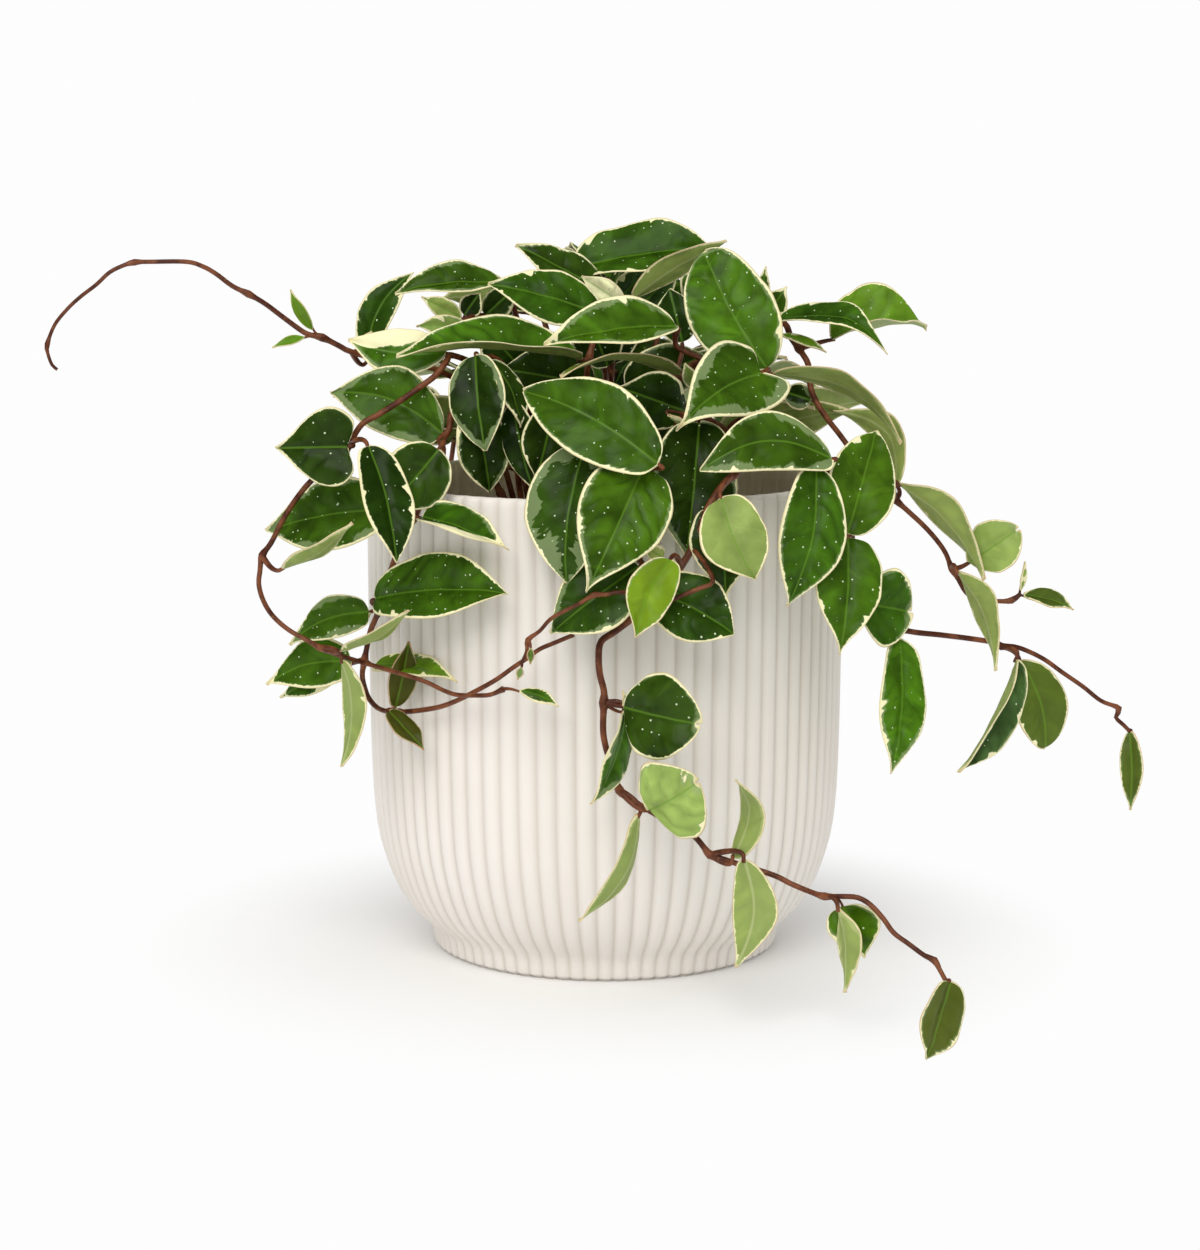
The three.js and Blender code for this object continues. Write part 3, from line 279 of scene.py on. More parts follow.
add_shoot("stem_crown", foot=(3, 12), radius=(1.6, 1), points=[
    [2, 215, 12], [4, 240, 14, K], [0, 254, 16, K],
], leaves=[
    [1, [0, 249, 8], [-33.5, 266.5, 2], 19, [0, -0.75, 0.65], "elliptic", 2, 0.1, 1.5],
    [2, [-11.5, 257.5, 18], [41, 265, 14], 30, [0, -0.7, 0.7], "oval", 2, 0.42],
    [1, [10, 247, 4], [45.5, 268.3, -6], 13, [0.1, 0.6, 0.75], "elliptic", 2, 0.1],
    [1, [5, 246, 22], [17, 258, 26], 12, FRONT, "ovate", 1],
    [1, [14, 244, 20], [28, 259, 28], 12, FRONT, "ovate", 1],
    [1, [7, 244, 2], [-9, 254.5, -2], 10, FRONT, "elliptic", 1],
    [0, [-4, 214, 6], [-39, 220, 0], 24, FRONT, "oval", 1],
    [0, [8, 213, 7], [38, 225, 4], 22, FRONT, "oval", 1],
    [0, [1, 221, 5], [-9, 245, 2], 20, FRONT, "oval", 1],
])
add_shoot("stem_left_back", foot=(-18, 14), radius=(1.5, 1), points=[
    [-26, 215, 14], [-33, 238, 10], [-36, 249, 6, K],
], leaves=[
    [2, [-39, 252, 2], [-79, 248.5, -8], 20, [0, -0.6, 0.8], "elliptic", 2, 0.38],
    [1, [-45, 240, 0], [-34, 250, -6], 12, FRONT, "oval", 1],
    [0, [-28, 216, 8], [-47, 237, 3], 20, FRONT, "oval", 1],
    [0, [-29, 213, 8.5], [-49, 200, 10.5], 20, FRONT, "oval", 1],
])
add_shoot("stem_left_back", start=1, radius=(0.9, 0.8), points=[
    [-44, 240, 2], [-50, 240, -6, K],
], leaves=[
    [1, [-54, 239, -10], [-69, 247, -16], 8, FRONT, "elliptic", 1],
    [1, [-53, 236.5, -10], [-71, 236, -18], 8, FRONT, "elliptic", 1],
    [1, [-53, 240, -4], [-47, 248.5, -7], 10, FRONT, "elliptic", 1],
])
add_shoot("stem_front_left", foot=(-14, -26), radius=(1.5, 1), points=[
    [-24, 200, -44], [-33, 214, -48], [-41, 223.5, -52], [-48, 224, -56, K],
], leaves=[
    [3, [-49, 225, -60], [-45.5, 189, -71], 22, [-0.25, -0.95, 0], "oval", 2, 0.15],
    [2, [-43, 223.5, -57], [-31.5, 198, -66], 16, [0.8, -0.58, 0], "elliptic", 2, 0.15],
    [0, [-50, 207, -62], [-43.7, 173.2, -60], 20, [0.3, -0.95, 0.1], "oval", 2, 0.1],
    [0, [-35, 207, -60], [-28, 175.5, -66], 15, [-0.4, -0.9, 0], "oval", 1, 0.1],
    [0, [-20, 205, -62], [-26, 178.5, -70], 19, [0.3, -0.95, 0], "oval", 1, 0.1],
])


# ---- Leaf colours, read from the front ----
# One word for each leaf in its stem's order. The stems behind repeat the same words.
LOOKS = {
    "vine_long_tendril": "lime lime moss pale",
    "vine_left_loop": "fresh deep deep pale pale pale fresh",
    "vine_left_front": "dark moss dark dark dark dark fresh dark lime bronze bronze",
    "vine_front": "pale deep young pale moss moss fresh pale pale pale pale young pale fresh olive"
                  " bronze bronze",
    "vine_right": "dark dark dark young lime deep pale pale pale pale olive pale",
    "vine_lower_right": "dark dark fresh fresh dark fresh grey olive olive",
    "stem_front": "moss dark dark moss",
    "stem_front_right": "deep olive",
    "stem_right_top": "fresh dark olive",
    "stem_centre_high": "dark olive deep deep pale",
    "stem_left_high": "fresh dark",
    "stem_crown": "moss dark olive grey grey cream deep deep deep",
    "stem_left_back": "dark deep deep deep pale pale deep",
    "stem_front_left": "deep deep deep deep deep",
}
# The cream margin left and right of the midrib and the grey-green patch inside it, in
# millimetres, for the leaves of a stem where they stand out.
MARKS = {
    "vine_long_tendril": {0: (0.25, 0.25, 0), 1: (0.25, 0.25, 0)},
    "vine_left_loop": {0: (1.2, 7, 1), 2: (0.5, 0.6, 0.3)},
    "vine_left_front": {1: (0.8, 1, 0.5), 2: (1, 6, 1)},
    "vine_lower_right": {4: (0.9, 0.9, 1), 5: (0.8, 0.8, 1)},
    "stem_front": {0: (0.8, 1.2, 7), 1: (1, 1, 1), 2: (1, 1, 0.5)},
    "stem_right_top": {0: (0.9, 1.1, 1), 1: (1.4, 1.4, 3.5)},
    "stem_centre_high": {0: (1.4, 1.6, 3)},
    "stem_crown": {1: (0.8, 0.9, 0.3)},
}
# How red the margins are in some of these looks.
BLUSH = {"bronze": 1, "olive": 0.5, "young": 0.35, "pale": 0.3, "lime": 0.2}
BACK_LOOKS = "dark deep fresh deep dark deep"


# ---- Leafy stems behind ----
# Short stems fan out over the back, with leaves in pairs placed by rule from a seeded number.
def seeded_numbers(seed):
    state = seed
    while True:
        state = (state * 1664525 + 1013904223) % 4294967296
        yield state / 4294967296


LOW = dict(reach=74, rise=36, drop=0, tip=0.25, joints=[0.4, 1])
HIGH = dict(start=20, reach=46, rise=82, drop=0, tip=0.1, joints=[0.3, 0.62, 1])
TRAILING = dict(start=48, reach=100, rise=71, drop=66, tip=-0.9, joints=[0.3, 0.62, 1])
INNER = dict(start=22, reach=52, rise=36, drop=0, tip=0.2, joints=[0.3, 0.62, 1])
BACK_STEMS = [
    dict(LOW, name="stem_back_1", turn=32, start=44),
    dict(TRAILING, name="stem_back_2", turn=52),
    dict(LOW, name="stem_back_3", turn=71, start=40),
    dict(TRAILING, name="stem_back_4", turn=90, reach=106, drop=84),
    dict(LOW, name="stem_back_5", turn=110, start=40),
    dict(TRAILING, name="stem_back_6", turn=130),
    dict(LOW, name="stem_back_7", turn=150, start=42),
    dict(HIGH, name="stem_high_1", turn=50),
    dict(HIGH, name="stem_high_2", turn=90, start=24, rise=92),
    dict(HIGH, name="stem_high_3", turn=130),
    dict(INNER, name="stem_inner_right", turn=4),
    dict(INNER, name="stem_inner_left", turn=181),
]


# The height rises to the middle of the stem and falls towards its end.
def back_point(row, f):
    a = math.radians(row["turn"]) + 0.05 * math.sin(5 * f + row["turn"])
    out = row["start"] + (row["reach"] - row["start"]) * f
    height = SOIL_TOP + 6 + row["rise"] * math.sin(math.pi / 2 * min(1.5 * f, 1))
    fall = row["drop"] * max(f - 0.45, 0) ** 1.3 * 2.2
    return Vector((math.cos(a) * out, math.sin(a) * out, height - fall))


def back_stem(row, draw):
    a = math.radians(row["turn"])
    out = Vector((math.cos(a), math.sin(a), 0))
    across = Vector((-out.y, out.x, 0))
    points = [as_seen(back_point(row, f)) + [K] for f in [0.15, *row["joints"]]]
    leaves = []
    for k, f in enumerate(row["joints"]):
        outer = k / (len(row["joints"]) - 1)
        joint = back_point(row, f)
        for sign in (1, -1):
            length = 38 + 8 * next(draw)
            heading = out * (0.9 + 0.4 * next(draw))
            heading += across * (sign * (0.5 + 0.1 * next(draw)))
            heading.z = 0.45 + (row["tip"] - 0.45) * outer + 0.12 * next(draw)
            heading.normalize()
            face = [out.x * (0.4 + 0.8 * outer), out.y * (0.4 + 0.8 * outer), 1.1 - 0.4 * outer]
            base, tip = joint + heading * 5, joint + heading * length
            leaves.append(leaf(k + 1, as_seen(base), as_seen(tip), 22, face, "ovate", 4, 0.12))
    foot = (out.x * (row["start"] - 4), out.y * (row["start"] - 4))
    return [dict(foot=foot, radius=(1.5, 1), points=points, leaves=leaves)]


back_draw = seeded_numbers(7)
for back_row in BACK_STEMS:
    STEMS[back_row["name"]] = back_stem(back_row, back_draw)


# ---- Making and naming pieces ----
def finished(bm, name, materials):
    """Turns a bmesh in millimetres into an object that sits at the origin."""
    bmesh.ops.scale(bm, vec=Vector((MM, MM, MM)), verts=bm.verts)
    for face in bm.faces:
        face.smooth = True
    mesh = bpy.data.meshes.new(name)
    bm.to_mesh(mesh)
    bm.free()
    piece = bpy.data.objects.new(name, mesh)
    bpy.context.scene.collection.objects.link(piece)
    for material in materials:
        mesh.materials.append(material)
    return piece


def close_round(bm):
    """Joins the seam of a grid that goes round the pot's axis, and closes its ends."""
    bmesh.ops.remove_doubles(bm, verts=bm.verts, dist=0.0005)
    bmesh.ops.holes_fill(bm, edges=[e for e in bm.edges if e.is_boundary])
    bmesh.ops.recalc_face_normals(bm, faces=bm.faces)


def placed(piece, nodes):
    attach(piece, "root")
    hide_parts(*nodes)


# ---- Pot ----
def profile_at(rows, z):
    for (z0, r0), (z1, r1) in zip(rows, rows[1:]):
        if z <= z1:
            return r0 + (r1 - r0) * max(0, z - z0) / (z1 - z0)
    return rows[-1][1]


def pot_rows():
    """Height, radius and depth of the flutes, from the foot up, over the rim and down inside."""
    rows = list(FOOT_ROWS)
    for z, r in POT_OUTSIDE:
        rows.append((z, r, FLUTE_DEPTH * (0.65 + 0.35 * min(1, z / FOOT_HEIGHT))))
    for k in range(1, LIP_STEPS):
        f = k / LIP_STEPS
        a = math.pi * k / LIP_STEPS
        depth = FLUTE_DEPTH * (1 - f) ** 0.7 + 0.35 * f
        z = POT_HEIGHT - LIP_RISE + LIP_RISE * math.sin(a)
        rows.append((z, RIM_RADIUS - LIP + LIP * math.cos(a), depth))
    for z in INSIDE_HEIGHTS:
        rows.append((z, profile_at(POT_OUTSIDE, z) - WALL + INSIDE_EASE, INSIDE_DEPTH))
    return rows + FLOOR_ROWS


def make_pot(material):
    rows = pot_rows()
    across = FLUTES * FLUTE_STEPS
    bm = bmesh.new()
    groove = bm.verts.layers.float.new("groove")
    inside = bm.verts.layers.float.new("inside")
    rim = next(k for k, row in enumerate(rows) if row[0] > POT_HEIGHT - 0.5)
    bmesh.ops.create_grid(bm, x_segments=across, y_segments=len(rows) - 1, size=1)
    for v in bm.verts:
        i = round((v.co.x + 1) / 2 * across)
        k = round((v.co.y + 1) / 2 * (len(rows) - 1))
        z, r, depth = rows[k]
        a = 2 * math.pi * i / across
        crest = abs(math.sin(math.pi * i / FLUTE_STEPS))
        r -= depth * (1 - crest ** 0.75)
        # groove marks how deep in a flute's valley a point lies, where the ceramic paints shade.
        v[groove] = depth / FLUTE_DEPTH * (1 - crest) ** 2
        v[inside] = min(max(0, k - rim) / INSIDE_FADE, 1)
        v.co = (r * math.cos(a), r * math.sin(a), z)
    close_round(bm)
    placed(finished(bm, "pot_body", [material]), ["pot"])


# ---- Soil ----
def soil_height(x, y, top):
    """A lumpy surface that falls a little to the wall of the pot."""
    p = Vector((x, y, 0))
    lumps = 2.2 * noise.noise(p * 0.06) + 1.3 * noise.noise(p * 0.19) + 0.8 * noise.noise(p * 0.5)
    return SOIL_TOP - 2 + lumps - 2.5 * (math.hypot(x, y) / top) ** 4


def make_soil(material, crumb_material):
    top = profile_at(POT_OUTSIDE, SOIL_TOP) - WALL - INSIDE_EASE
    ground, side = 0.85, 12  # part of the grid that is the surface, and the depth of the rest
    bm = bmesh.new()
    bmesh.ops.create_grid(bm, x_segments=120, y_segments=46, size=1)
    for v in bm.verts:
        a = math.pi * (v.co.x + 1)
        f = (v.co.y + 1) / 2
        r = top * min(f / ground, 1)
        x, y = r * math.cos(a), r * math.sin(a)
        v.co = (x, y, soil_height(x, y, top) - side * max(0, f - ground) / (1 - ground))
    close_round(bm)
    placed(finished(bm, "soil_body", [material]), ["soil"])
    make_crumbs(top, crumb_material)


def make_crumbs(top, material):
    draw = random.Random(11)
    bm = bmesh.new()
    for _ in range(CRUMBS):
        r, a = top * math.sqrt(draw.random()) * 0.96, draw.uniform(0, 2 * math.pi)
        size = draw.uniform(0.8, 2.6)
        lump = bmesh.ops.create_icosphere(bm, subdivisions=1, radius=1)["verts"]
        x, y = r * math.cos(a), r * math.sin(a)
        turn = Quaternion(Vector((draw.random(), draw.random(), 1)), draw.uniform(0, 3))
        stretch = Vector((draw.uniform(0.8, 1.6), draw.uniform(0.7, 1.1), draw.uniform(0.4, 0.8)))
        middle = Vector((x, y, soil_height(x, y, top) + 0.3 * size))
        for v in lump:
            v.co = turn @ (v.co * size * stretch) + middle
    placed(finished(bm, "soil_crumbs", [material]), ["soil"])


# ---- Stems ----
STALK, SMALL_STALK = 1.0, 0.6  # radius of a leaf's stalk
SMALL_LEAF = 20  # a leaf shorter than this has the thin one
STEM_STEP = 1.6  # aimed length of a bit of stem, with 2 to 12 bits between two points
STALK_STEPS = 8


def route_of(shoot, shoots):
    """The points of a shoot and how much each is swollen, out of the soil or another shoot."""
    route = [seen(p) for p in shoot["points"]]
    swell = [KNUCKLE if len(p) > 3 else 1 for p in shoot["points"]]
    if "foot" in shoot:
        x, y = shoot["foot"]
        low = SOIL_TOP - STEM_HOLE_DEPTH + 0.3
        route = [Vector((x, y, low)), Vector((x, y, SOIL_TOP + 5))] + route
        swell = [1, 1] + swell
    else:
        route.insert(0, seen(shoots[0]["points"][shoot["start"]]))
        swell.insert(0, 1)
    return route, swell


def smoothed(points, k, f):
    """A point on the rounded line through the points, at part f of the way from point k."""
    p0, p1 = points[max(k - 1, 0)], points[k]
    p2, p3 = points[k + 1], points[min(k + 2, len(points) - 1)]
    return 0.5 * (
        2 * p1 + (p2 - p0) * f + (2 * p0 - 5 * p1 + 4 * p2 - p3) * f**2
        + (3 * p1 - p0 - 3 * p2 + p3) * f**3
    )


def stem_samples(route, swell, radius):
    """Points and radii along a shoot, swollen over a short length at each knuckle."""
    thick, thin = radius
    samples = []
    for k in range(len(route) - 1):
        length = (route[k + 1] - route[k]).length
        steps = max(2, min(12, round(length / STEM_STEP)))
        for i in range(steps + (k == len(route) - 2)):
            f = i / steps
            r = thick + (thin - thick) * (k + f) / (len(route) - 1)
            for s, away in ((swell[k], f * length), (swell[k + 1], (1 - f) * length)):
                r *= 1 + (s - 1) * math.exp(-((away / KNUCKLE_REACH) ** 2))
            samples.append((smoothed(route, k, f), r))
    return samples


def add_line(curve, samples, material_index):
    line = curve.splines.new("POLY")
    line.points.add(len(samples) - 1)
    for point, (co, r) in zip(line.points, samples):
        point.co = (*(co * MM), 1)
        point.radius = r
    line.material_index = material_index
    line.use_smooth = True


def stalk_samples(root, base, frame_, radius):
    """A leaf stalk: out of the stem, bent round into the line of the blade, under its base."""
    base = base - frame_["up"] * (0.8 * radius)
    bend = base - frame_["along"] * min(4.5, 0.6 * (base - root).length)
    samples = []
    for i in range(STALK_STEPS + 1):
        f = i / STALK_STEPS
        p = root * (1 - f) ** 2 + bend * (2 * f * (1 - f)) + base * f**2
        if i == STALK_STEPS:
            p = base + frame_["along"] * 1.5
        samples.append((p, radius * (1.15 - 0.45 * f)))
    return samples


def make_stem(name, shoots, materials):
    curve = bpy.data.curves.new(name + "_stem", "CURVE")
    curve.dimensions = "3D"
    curve.bevel_depth = MM
    curve.bevel_resolution = 2
    curve.use_fill_caps = True
    curve.resolution_u = 1
    for shoot in shoots:
        route, swell = route_of(shoot, shoots)
        start = len(route) - len(shoot["points"])
        add_line(curve, stem_samples(route, swell, shoot["radius"]), 0)
        for row in shoot["leaves"]:
            root = route[start + row["at"]]
            blade = blade_frame(row)
            small = (blade["tip"] - blade["base"]).length < SMALL_LEAF
            radius = SMALL_STALK if small else STALK
            add_line(curve, stalk_samples(root, blade["base"], blade, radius), 1)
    for material in materials:
        curve.materials.append(material)
    piece = bpy.data.objects.new(name + "_stem", curve)
    bpy.context.scene.collection.objects.link(piece)
    placed(piece, [name])


# ---- Leaves ----
# Half the width along a blade, 0 at its base to 1 at its tip, over the widest half width.
OUTLINES = {
    "ovate": lambda t: math.sin(math.pi * t**0.68) ** (0.4 + 0.95 * t),
    "elliptic": lambda t: math.sin(math.pi * t**0.9) ** (0.45 + 0.7 * t),
    "oval": lambda t: math.sin(math.pi * t**0.92) ** (0.4 + 0.5 * t),
    "blunt": lambda t: math.sin(math.pi * t**0.95) ** 0.5,
    "lance": lambda t: math.sin(math.pi * t**0.85) ** (0.9 + 0.4 * t),
    "heart": lambda t: math.sin(math.pi * t**0.52) ** (0.7 + 0.7 * t),
    "round": lambda t: math.sin(math.pi * t**1.1) ** 0.55,
}
LOBE = {"heart": -0.16, "round": 0.09}  # edges behind the base, or past a notched tip


def blade_frame(row):
    base, tip = seen(row["base"]), seen(row["tip"])
    along = (tip - base).normalized()
    face = Vector(row["face"])
    up = (face - along * face.dot(along)).normalized()
    return dict(base=base, tip=tip, along=along, up=up, side=up.cross(along))


def blade_point(row, blade, s, t):
    """A point of the upper face: s from -1 at one edge to 1 at the other, t up the blade."""
    width, fold, shape = row["width"], row["fold"], row["shape"]
    length = (blade["tip"] - blade["base"]).length
    bow = math.sin(math.pi * t)
    outline = max(OUTLINES[shape](min(max(t, 1e-6), 1 - 1e-6)), 0)
    half = max(width / 2 * outline, 0.25)
    lobe = LOBE.get(shape, 0)
    shift = lobe * length * ((1 - t) ** 3 if lobe < 0 else t**4)
    if lobe < 0:
        shift *= min(1, t / 0.02)
    a = abs(s)
    rise = half * math.sin(fold) * a + 0.06 * half * math.sin(math.pi * a)
    wave = 0.04 * width * math.sin(9 * t + math.copysign(1, s)) * a**2
    drop = row["hook"] * max(0, (t - 0.6) / 0.4) ** 2 + 0.02 * length * max(0, (t - 0.8) / 0.2) ** 2
    middle = blade["base"].lerp(blade["tip"], t)
    middle += blade["up"] * (row["arch"] * bow - drop) + blade["side"] * (row["sway"] * bow)
    place = middle + blade["side"] * (s * half * math.cos(fold))
    return place + blade["up"] * (rise + wave) + blade["along"] * (shift * a**1.5), half, length


BLADE_THICK = 1.0  # a leaf at its midrib
BLADE_EDGE = 0.45  # and at its margin, as a part of that
SMALL_BLADE = 16  # a leaf shorter than this has a coarser grid
# What 1 stands for in a blade's layers, in millimetres, but for the seed.
BLADE_MOST, EDGE_MOST, PATCH_MOST, SEED_MOST = 100, 30, 10, 100


def leaf_marks(name, place, draw):
    """Colour of one leaf, its cream margin left and right, and its grey-green patch, in mm."""
    looks = LOOKS.get(name, BACK_LOOKS).split()
    word = looks[place % len(looks)]
    r, g, b = LEAF_TONES[word]
    shade = 1 + 0.3 * (draw.random() - 0.5)
    blush = BLUSH.get(word, 0)
    tone = (r * shade * draw.uniform(0.9, 1.1), g * shade, b * shade, blush)
    margin = draw.uniform(0.55, 1.05) * (1 - 0.6 * blush)
    patch = 2.4 * draw.random() ** 2
    return tone, *MARKS.get(name, {}).get(place, (margin, margin, patch))


def margin_at(width, t):
    """A margin narrows to the tip, and a wide one grows in from the base to the middle."""
    usual = min(width, 1) * (0.3 + 0.7 * min(1, (1 - t) / 0.14))
    f = min(max((t - 0.1) / 0.4, 0), 1)
    return usual + max(width - 1, 0) * f * f * (3 - 2 * f)


def add_blade(bm, layers, row, marks, draw):
    blade = blade_frame(row)
    length = (blade["tip"] - blade["base"]).length
    across, along = (4, 8) if length < SMALL_BLADE else (10, 22)
    made = bmesh.ops.create_grid(bm, x_segments=across, y_segments=along, size=1)["verts"]
    tone, left, right, patch = marks
    seed = draw.uniform(0, SEED_MOST)
    lines = {}
    for v in made:
        s, u = -v.co.x, (v.co.y + 1) / 2
        t = 0.3 * u + 0.7 * (0.5 - 0.5 * math.cos(math.pi * u))
        place, half, length = blade_point(row, blade, s, t)
        lines[v] = (s, t, half)
        ripple = 0.018 * row["width"] * noise.noise(Vector((2.2 * s, 6 * t, seed)))
        v.co = place + blade["up"] * (2.2 * ripple) + blade["side"] * (ripple * s)
        v[layers["tone"]] = tone
        edge = min((1 - abs(s)) * half, (1 - t) * length)
        margin = margin_at(left if s > 0 else right, t)
        look = (edge / EDGE_MOST, margin / EDGE_MOST, seed / SEED_MOST, patch / PATCH_MOST)
        v[layers["look"]] = look
        v[layers["group"]][0] = BLADE_EDGE + (1 - BLADE_EDGE) * (1 - abs(s) ** 2) * (1 - t**6)
    for face in {f for v in made for f in v.link_faces}:
        for loop in face.loops:
            s, t, half = lines[loop.vert]
            loop[layers["uv"]].uv = (s * half / BLADE_MOST, t * length / BLADE_MOST)


def make_leaves(name, shoots, materials, draw):
    bm = bmesh.new()
    layers = dict(
        tone=bm.verts.layers.float_color.new("tone"),
        look=bm.verts.layers.float_color.new("look"),
        group=bm.verts.layers.deform.new(),
        uv=bm.loops.layers.uv.new("blade"),
    )
    rows = [row for shoot in shoots for row in shoot["leaves"]]
    for place, row in enumerate(rows):
        add_blade(bm, layers, row, leaf_marks(name, place, draw), draw)
    piece = finished(bm, name + "_leaves", materials)
    piece.vertex_groups.new(name="thickness")
    wall = piece.modifiers.new("wall", "SOLIDIFY")
    wall.thickness = BLADE_THICK * MM
    wall.offset = -1
    wall.vertex_group = "thickness"
    wall.material_offset = 1
    wall.material_offset_rim = 0
    rounding = piece.modifiers.new("rounding", "SUBSURF")
    rounding.levels = rounding.render_levels = 1
    placed(piece, [name])


# ---- Node building ----
class Wire:
    """A value in a node tree. Sums and products of wires are further nodes in that tree."""

    def __init__(self, socket):
        self.socket, self.tree = socket, socket.id_data

    def calc(self, operation, *others):
        return wire(self.tree, "Math", dict(enumerate((self, *others))), operation=operation)

    def __add__(self, other):
        return self.calc("ADD", other)

    def __sub__(self, other):
        return self.calc("SUBTRACT", other)

    def __mul__(self, other):
        return self.calc("MULTIPLY", other)

    def __truediv__(self, other):
        return self.calc("DIVIDE", other)

    def at_least(self, other):
        return self.calc("MAXIMUM", other)


def give(made, inputs):
    """Sets the inputs of a node to values, or links wires to them."""
    for key, value in inputs.items():
        if isinstance(value, Wire):
            value.tree.links.new(value.socket, made.inputs[key])
        else:
            made.inputs[key].default_value = value


def node(tree, kind, inputs, **settings):
    made = tree.nodes.new("ShaderNode" + kind)
    for key, value in settings.items():
        setattr(made, key, value)
    give(made, inputs)
    return made


def wire(tree, kind, inputs, output=0, **settings):
    return Wire(node(tree, kind, inputs, **settings).outputs[output])


def wires(made):
    return {socket.name: Wire(socket) for socket in made.outputs}


def ease(value, low, high):
    """0 below low and 1 above high, with a soft step between."""
    inputs = {"Value": value, "From Min": low, "From Max": high}
    return wire(value.tree, "MapRange", inputs, interpolation_type="SMOOTHSTEP")


def tinted(part, first, second):
    return wire(part.tree, "Mix", {0: part, 6: first, 7: second}, 2, data_type="RGBA")


def shaded(colour, value):
    """The colour times a value."""
    return wire(value.tree, "VectorMath", {0: colour, "Scale": value}, operation="SCALE")


def in_millimetres(tree):
    place = wire(tree, "TexCoord", {}, "Object")
    return wire(tree, "VectorMath", {0: place, "Scale": 1 / MM}, operation="SCALE")


def mottle(place, size, detail=2, distortion=0):
    """Soft noise with patches about size millimetres across, from 0 to 1."""
    inputs = {"Vector": place, "Scale": 1 / size, "Detail": detail, "Distortion": distortion}
    return wire(place.tree, "TexNoise", inputs, "Fac")


def new_material(name):
    material = bpy.data.materials.new(name)
    material.use_nodes = True
    tree = material.node_tree
    return material, tree, tree.nodes["Principled BSDF"]


def new_group(name, inputs, outputs):
    group = bpy.data.node_groups.new(name, "ShaderNodeTree")
    for way, names in (("INPUT", inputs), ("OUTPUT", outputs)):
        for socket in names:
            group.interface.new_socket(name=socket, in_out=way, socket_type="NodeSocketFloat")
    return group, wires(group.nodes.new("NodeGroupInput")), group.nodes.new("NodeGroupOutput")


def use_group(tree, group, **inputs):
    made = tree.nodes.new("ShaderNodeGroup")
    made.node_tree = group
    give(made, inputs)
    return wires(made)


def give_bump(shader, height, distance):
    inputs = {"Height": height, "Distance": distance * MM, "Strength": 1}
    give(shader, {"Normal": wire(height.tree, "Bump", inputs)})


def make_grain_group():
    """Fine grain that any surface has: size in millimetres, and how much coarse mixes in."""
    group, given, result = new_group("surface_grain", ["Size", "Coarse"], ["Value", "Height"])
    place = in_millimetres(group)
    scale = wire(group, "Math", {0: 1, 1: given["Size"]}, operation="DIVIDE")
    fine = wire(group, "TexNoise", {"Vector": place, "Scale": scale, "Detail": 4}, "Fac")
    wide = wire(group, "TexNoise", {"Vector": place, "Scale": scale * 0.12, "Detail": 2}, "Fac")
    give(result, {"Value": wide, "Height": fine + wide * given["Coarse"]})
    return group


# ---- Leaf pattern ----
LEAF_TONES = {
    "dark": (0.042, 0.110, 0.003),
    "moss": (0.026, 0.066, 0.003),
    "deep": (0.017, 0.043, 0.002),
    "fresh": (0.058, 0.150, 0.004),
    "lime": (0.130, 0.260, 0.012),
    "young": (0.190, 0.340, 0.012),
    "pale": (0.310, 0.420, 0.100),
    "olive": (0.095, 0.135, 0.015),
    "grey": (0.052, 0.112, 0.024),
    "bronze": (0.060, 0.065, 0.006),
    "cream": (0.86, 0.78, 0.46),
}
CREAM = (0.86, 0.81, 0.50, 1)
MARGIN_TAN = (0.50, 0.36, 0.13, 1)
MARGIN_RED = (0.42, 0.17, 0.08, 1)
GREY_GREEN = (0.27, 0.35, 0.16, 1)
MIDRIB_GREEN = (0.12, 0.26, 0.02, 1)
FLECK = (0.58, 0.68, 0.45, 1)
UNDER_GREEN = (0.268, 0.355, 0.078)
UNDER_VEIN = (0.22, 0.33, 0.1, 1)
UNDER_MIDRIB = (0.42, 0.47, 0.2, 1)
UNDER_PATCH = (0.46, 0.50, 0.20, 1)
VEIN_STEP = 8  # millimetres from one side vein to the next
VEIN_SLANT = 0.55  # how much they rise for each millimetre outwards


def blade_places(group):
    """Where a point lies on its blade, in millimetres, with its leaf's margin, patch and seed."""
    look = wires(node(group, "Attribute", {}, attribute_name="look"))
    parts = wires(node(group, "SeparateColor", {"Color": look["Color"]}))
    flat = {"Vector": wire(group, "UVMap", {}, uv_map="blade")}
    flat = wires(node(group, "SeparateXYZ", flat))
    x, y = flat["X"] * BLADE_MOST, flat["Y"] * BLADE_MOST
    out = x.calc("ABSOLUTE")
    slant = y - out * VEIN_SLANT
    seed = parts["Blue"] * (90 * SEED_MOST)
    return SimpleNamespace(
        edge=parts["Red"] * EDGE_MOST, margin=parts["Green"] * EDGE_MOST, seed=seed,
        patch=look["Alpha"] * PATCH_MOST, x=x, y=y, out=out, slant=slant,
        even=wire(group, "CombineXYZ", {"X": x, "Y": y, "Z": seed}),
        streak=wire(group, "CombineXYZ", {"X": x * 0.35, "Y": slant, "Z": seed}),
    )


def margin_marks(at):
    """The ragged cream margin, its tan rim, and the grey-green patch inside it."""
    bay = ease(mottle(at.streak, 6), 0.58, 0.8) * 2.6
    rough = (mottle(at.streak, 1.6, 3, 0.4) - 0.5) * 1.5 + bay
    reach = at.margin + rough * ease(at.margin, 0.2, 0.7)
    inside = at.edge - reach.at_least(at.margin * 0.6)
    notch = (mottle(at.streak, 2.6, 3) - 0.42) * 9
    spread = ease(mottle(at.even, 14, 1), 0.38, 0.62) * at.patch
    near = inside - (spread + at.patch * 0.2 * notch)
    return dict(Cream=ease(inside, 0.15, -0.15), Tan=ease(at.edge, 0.34, 0.06),
                Patch=ease(near, 0.5, -0.5))


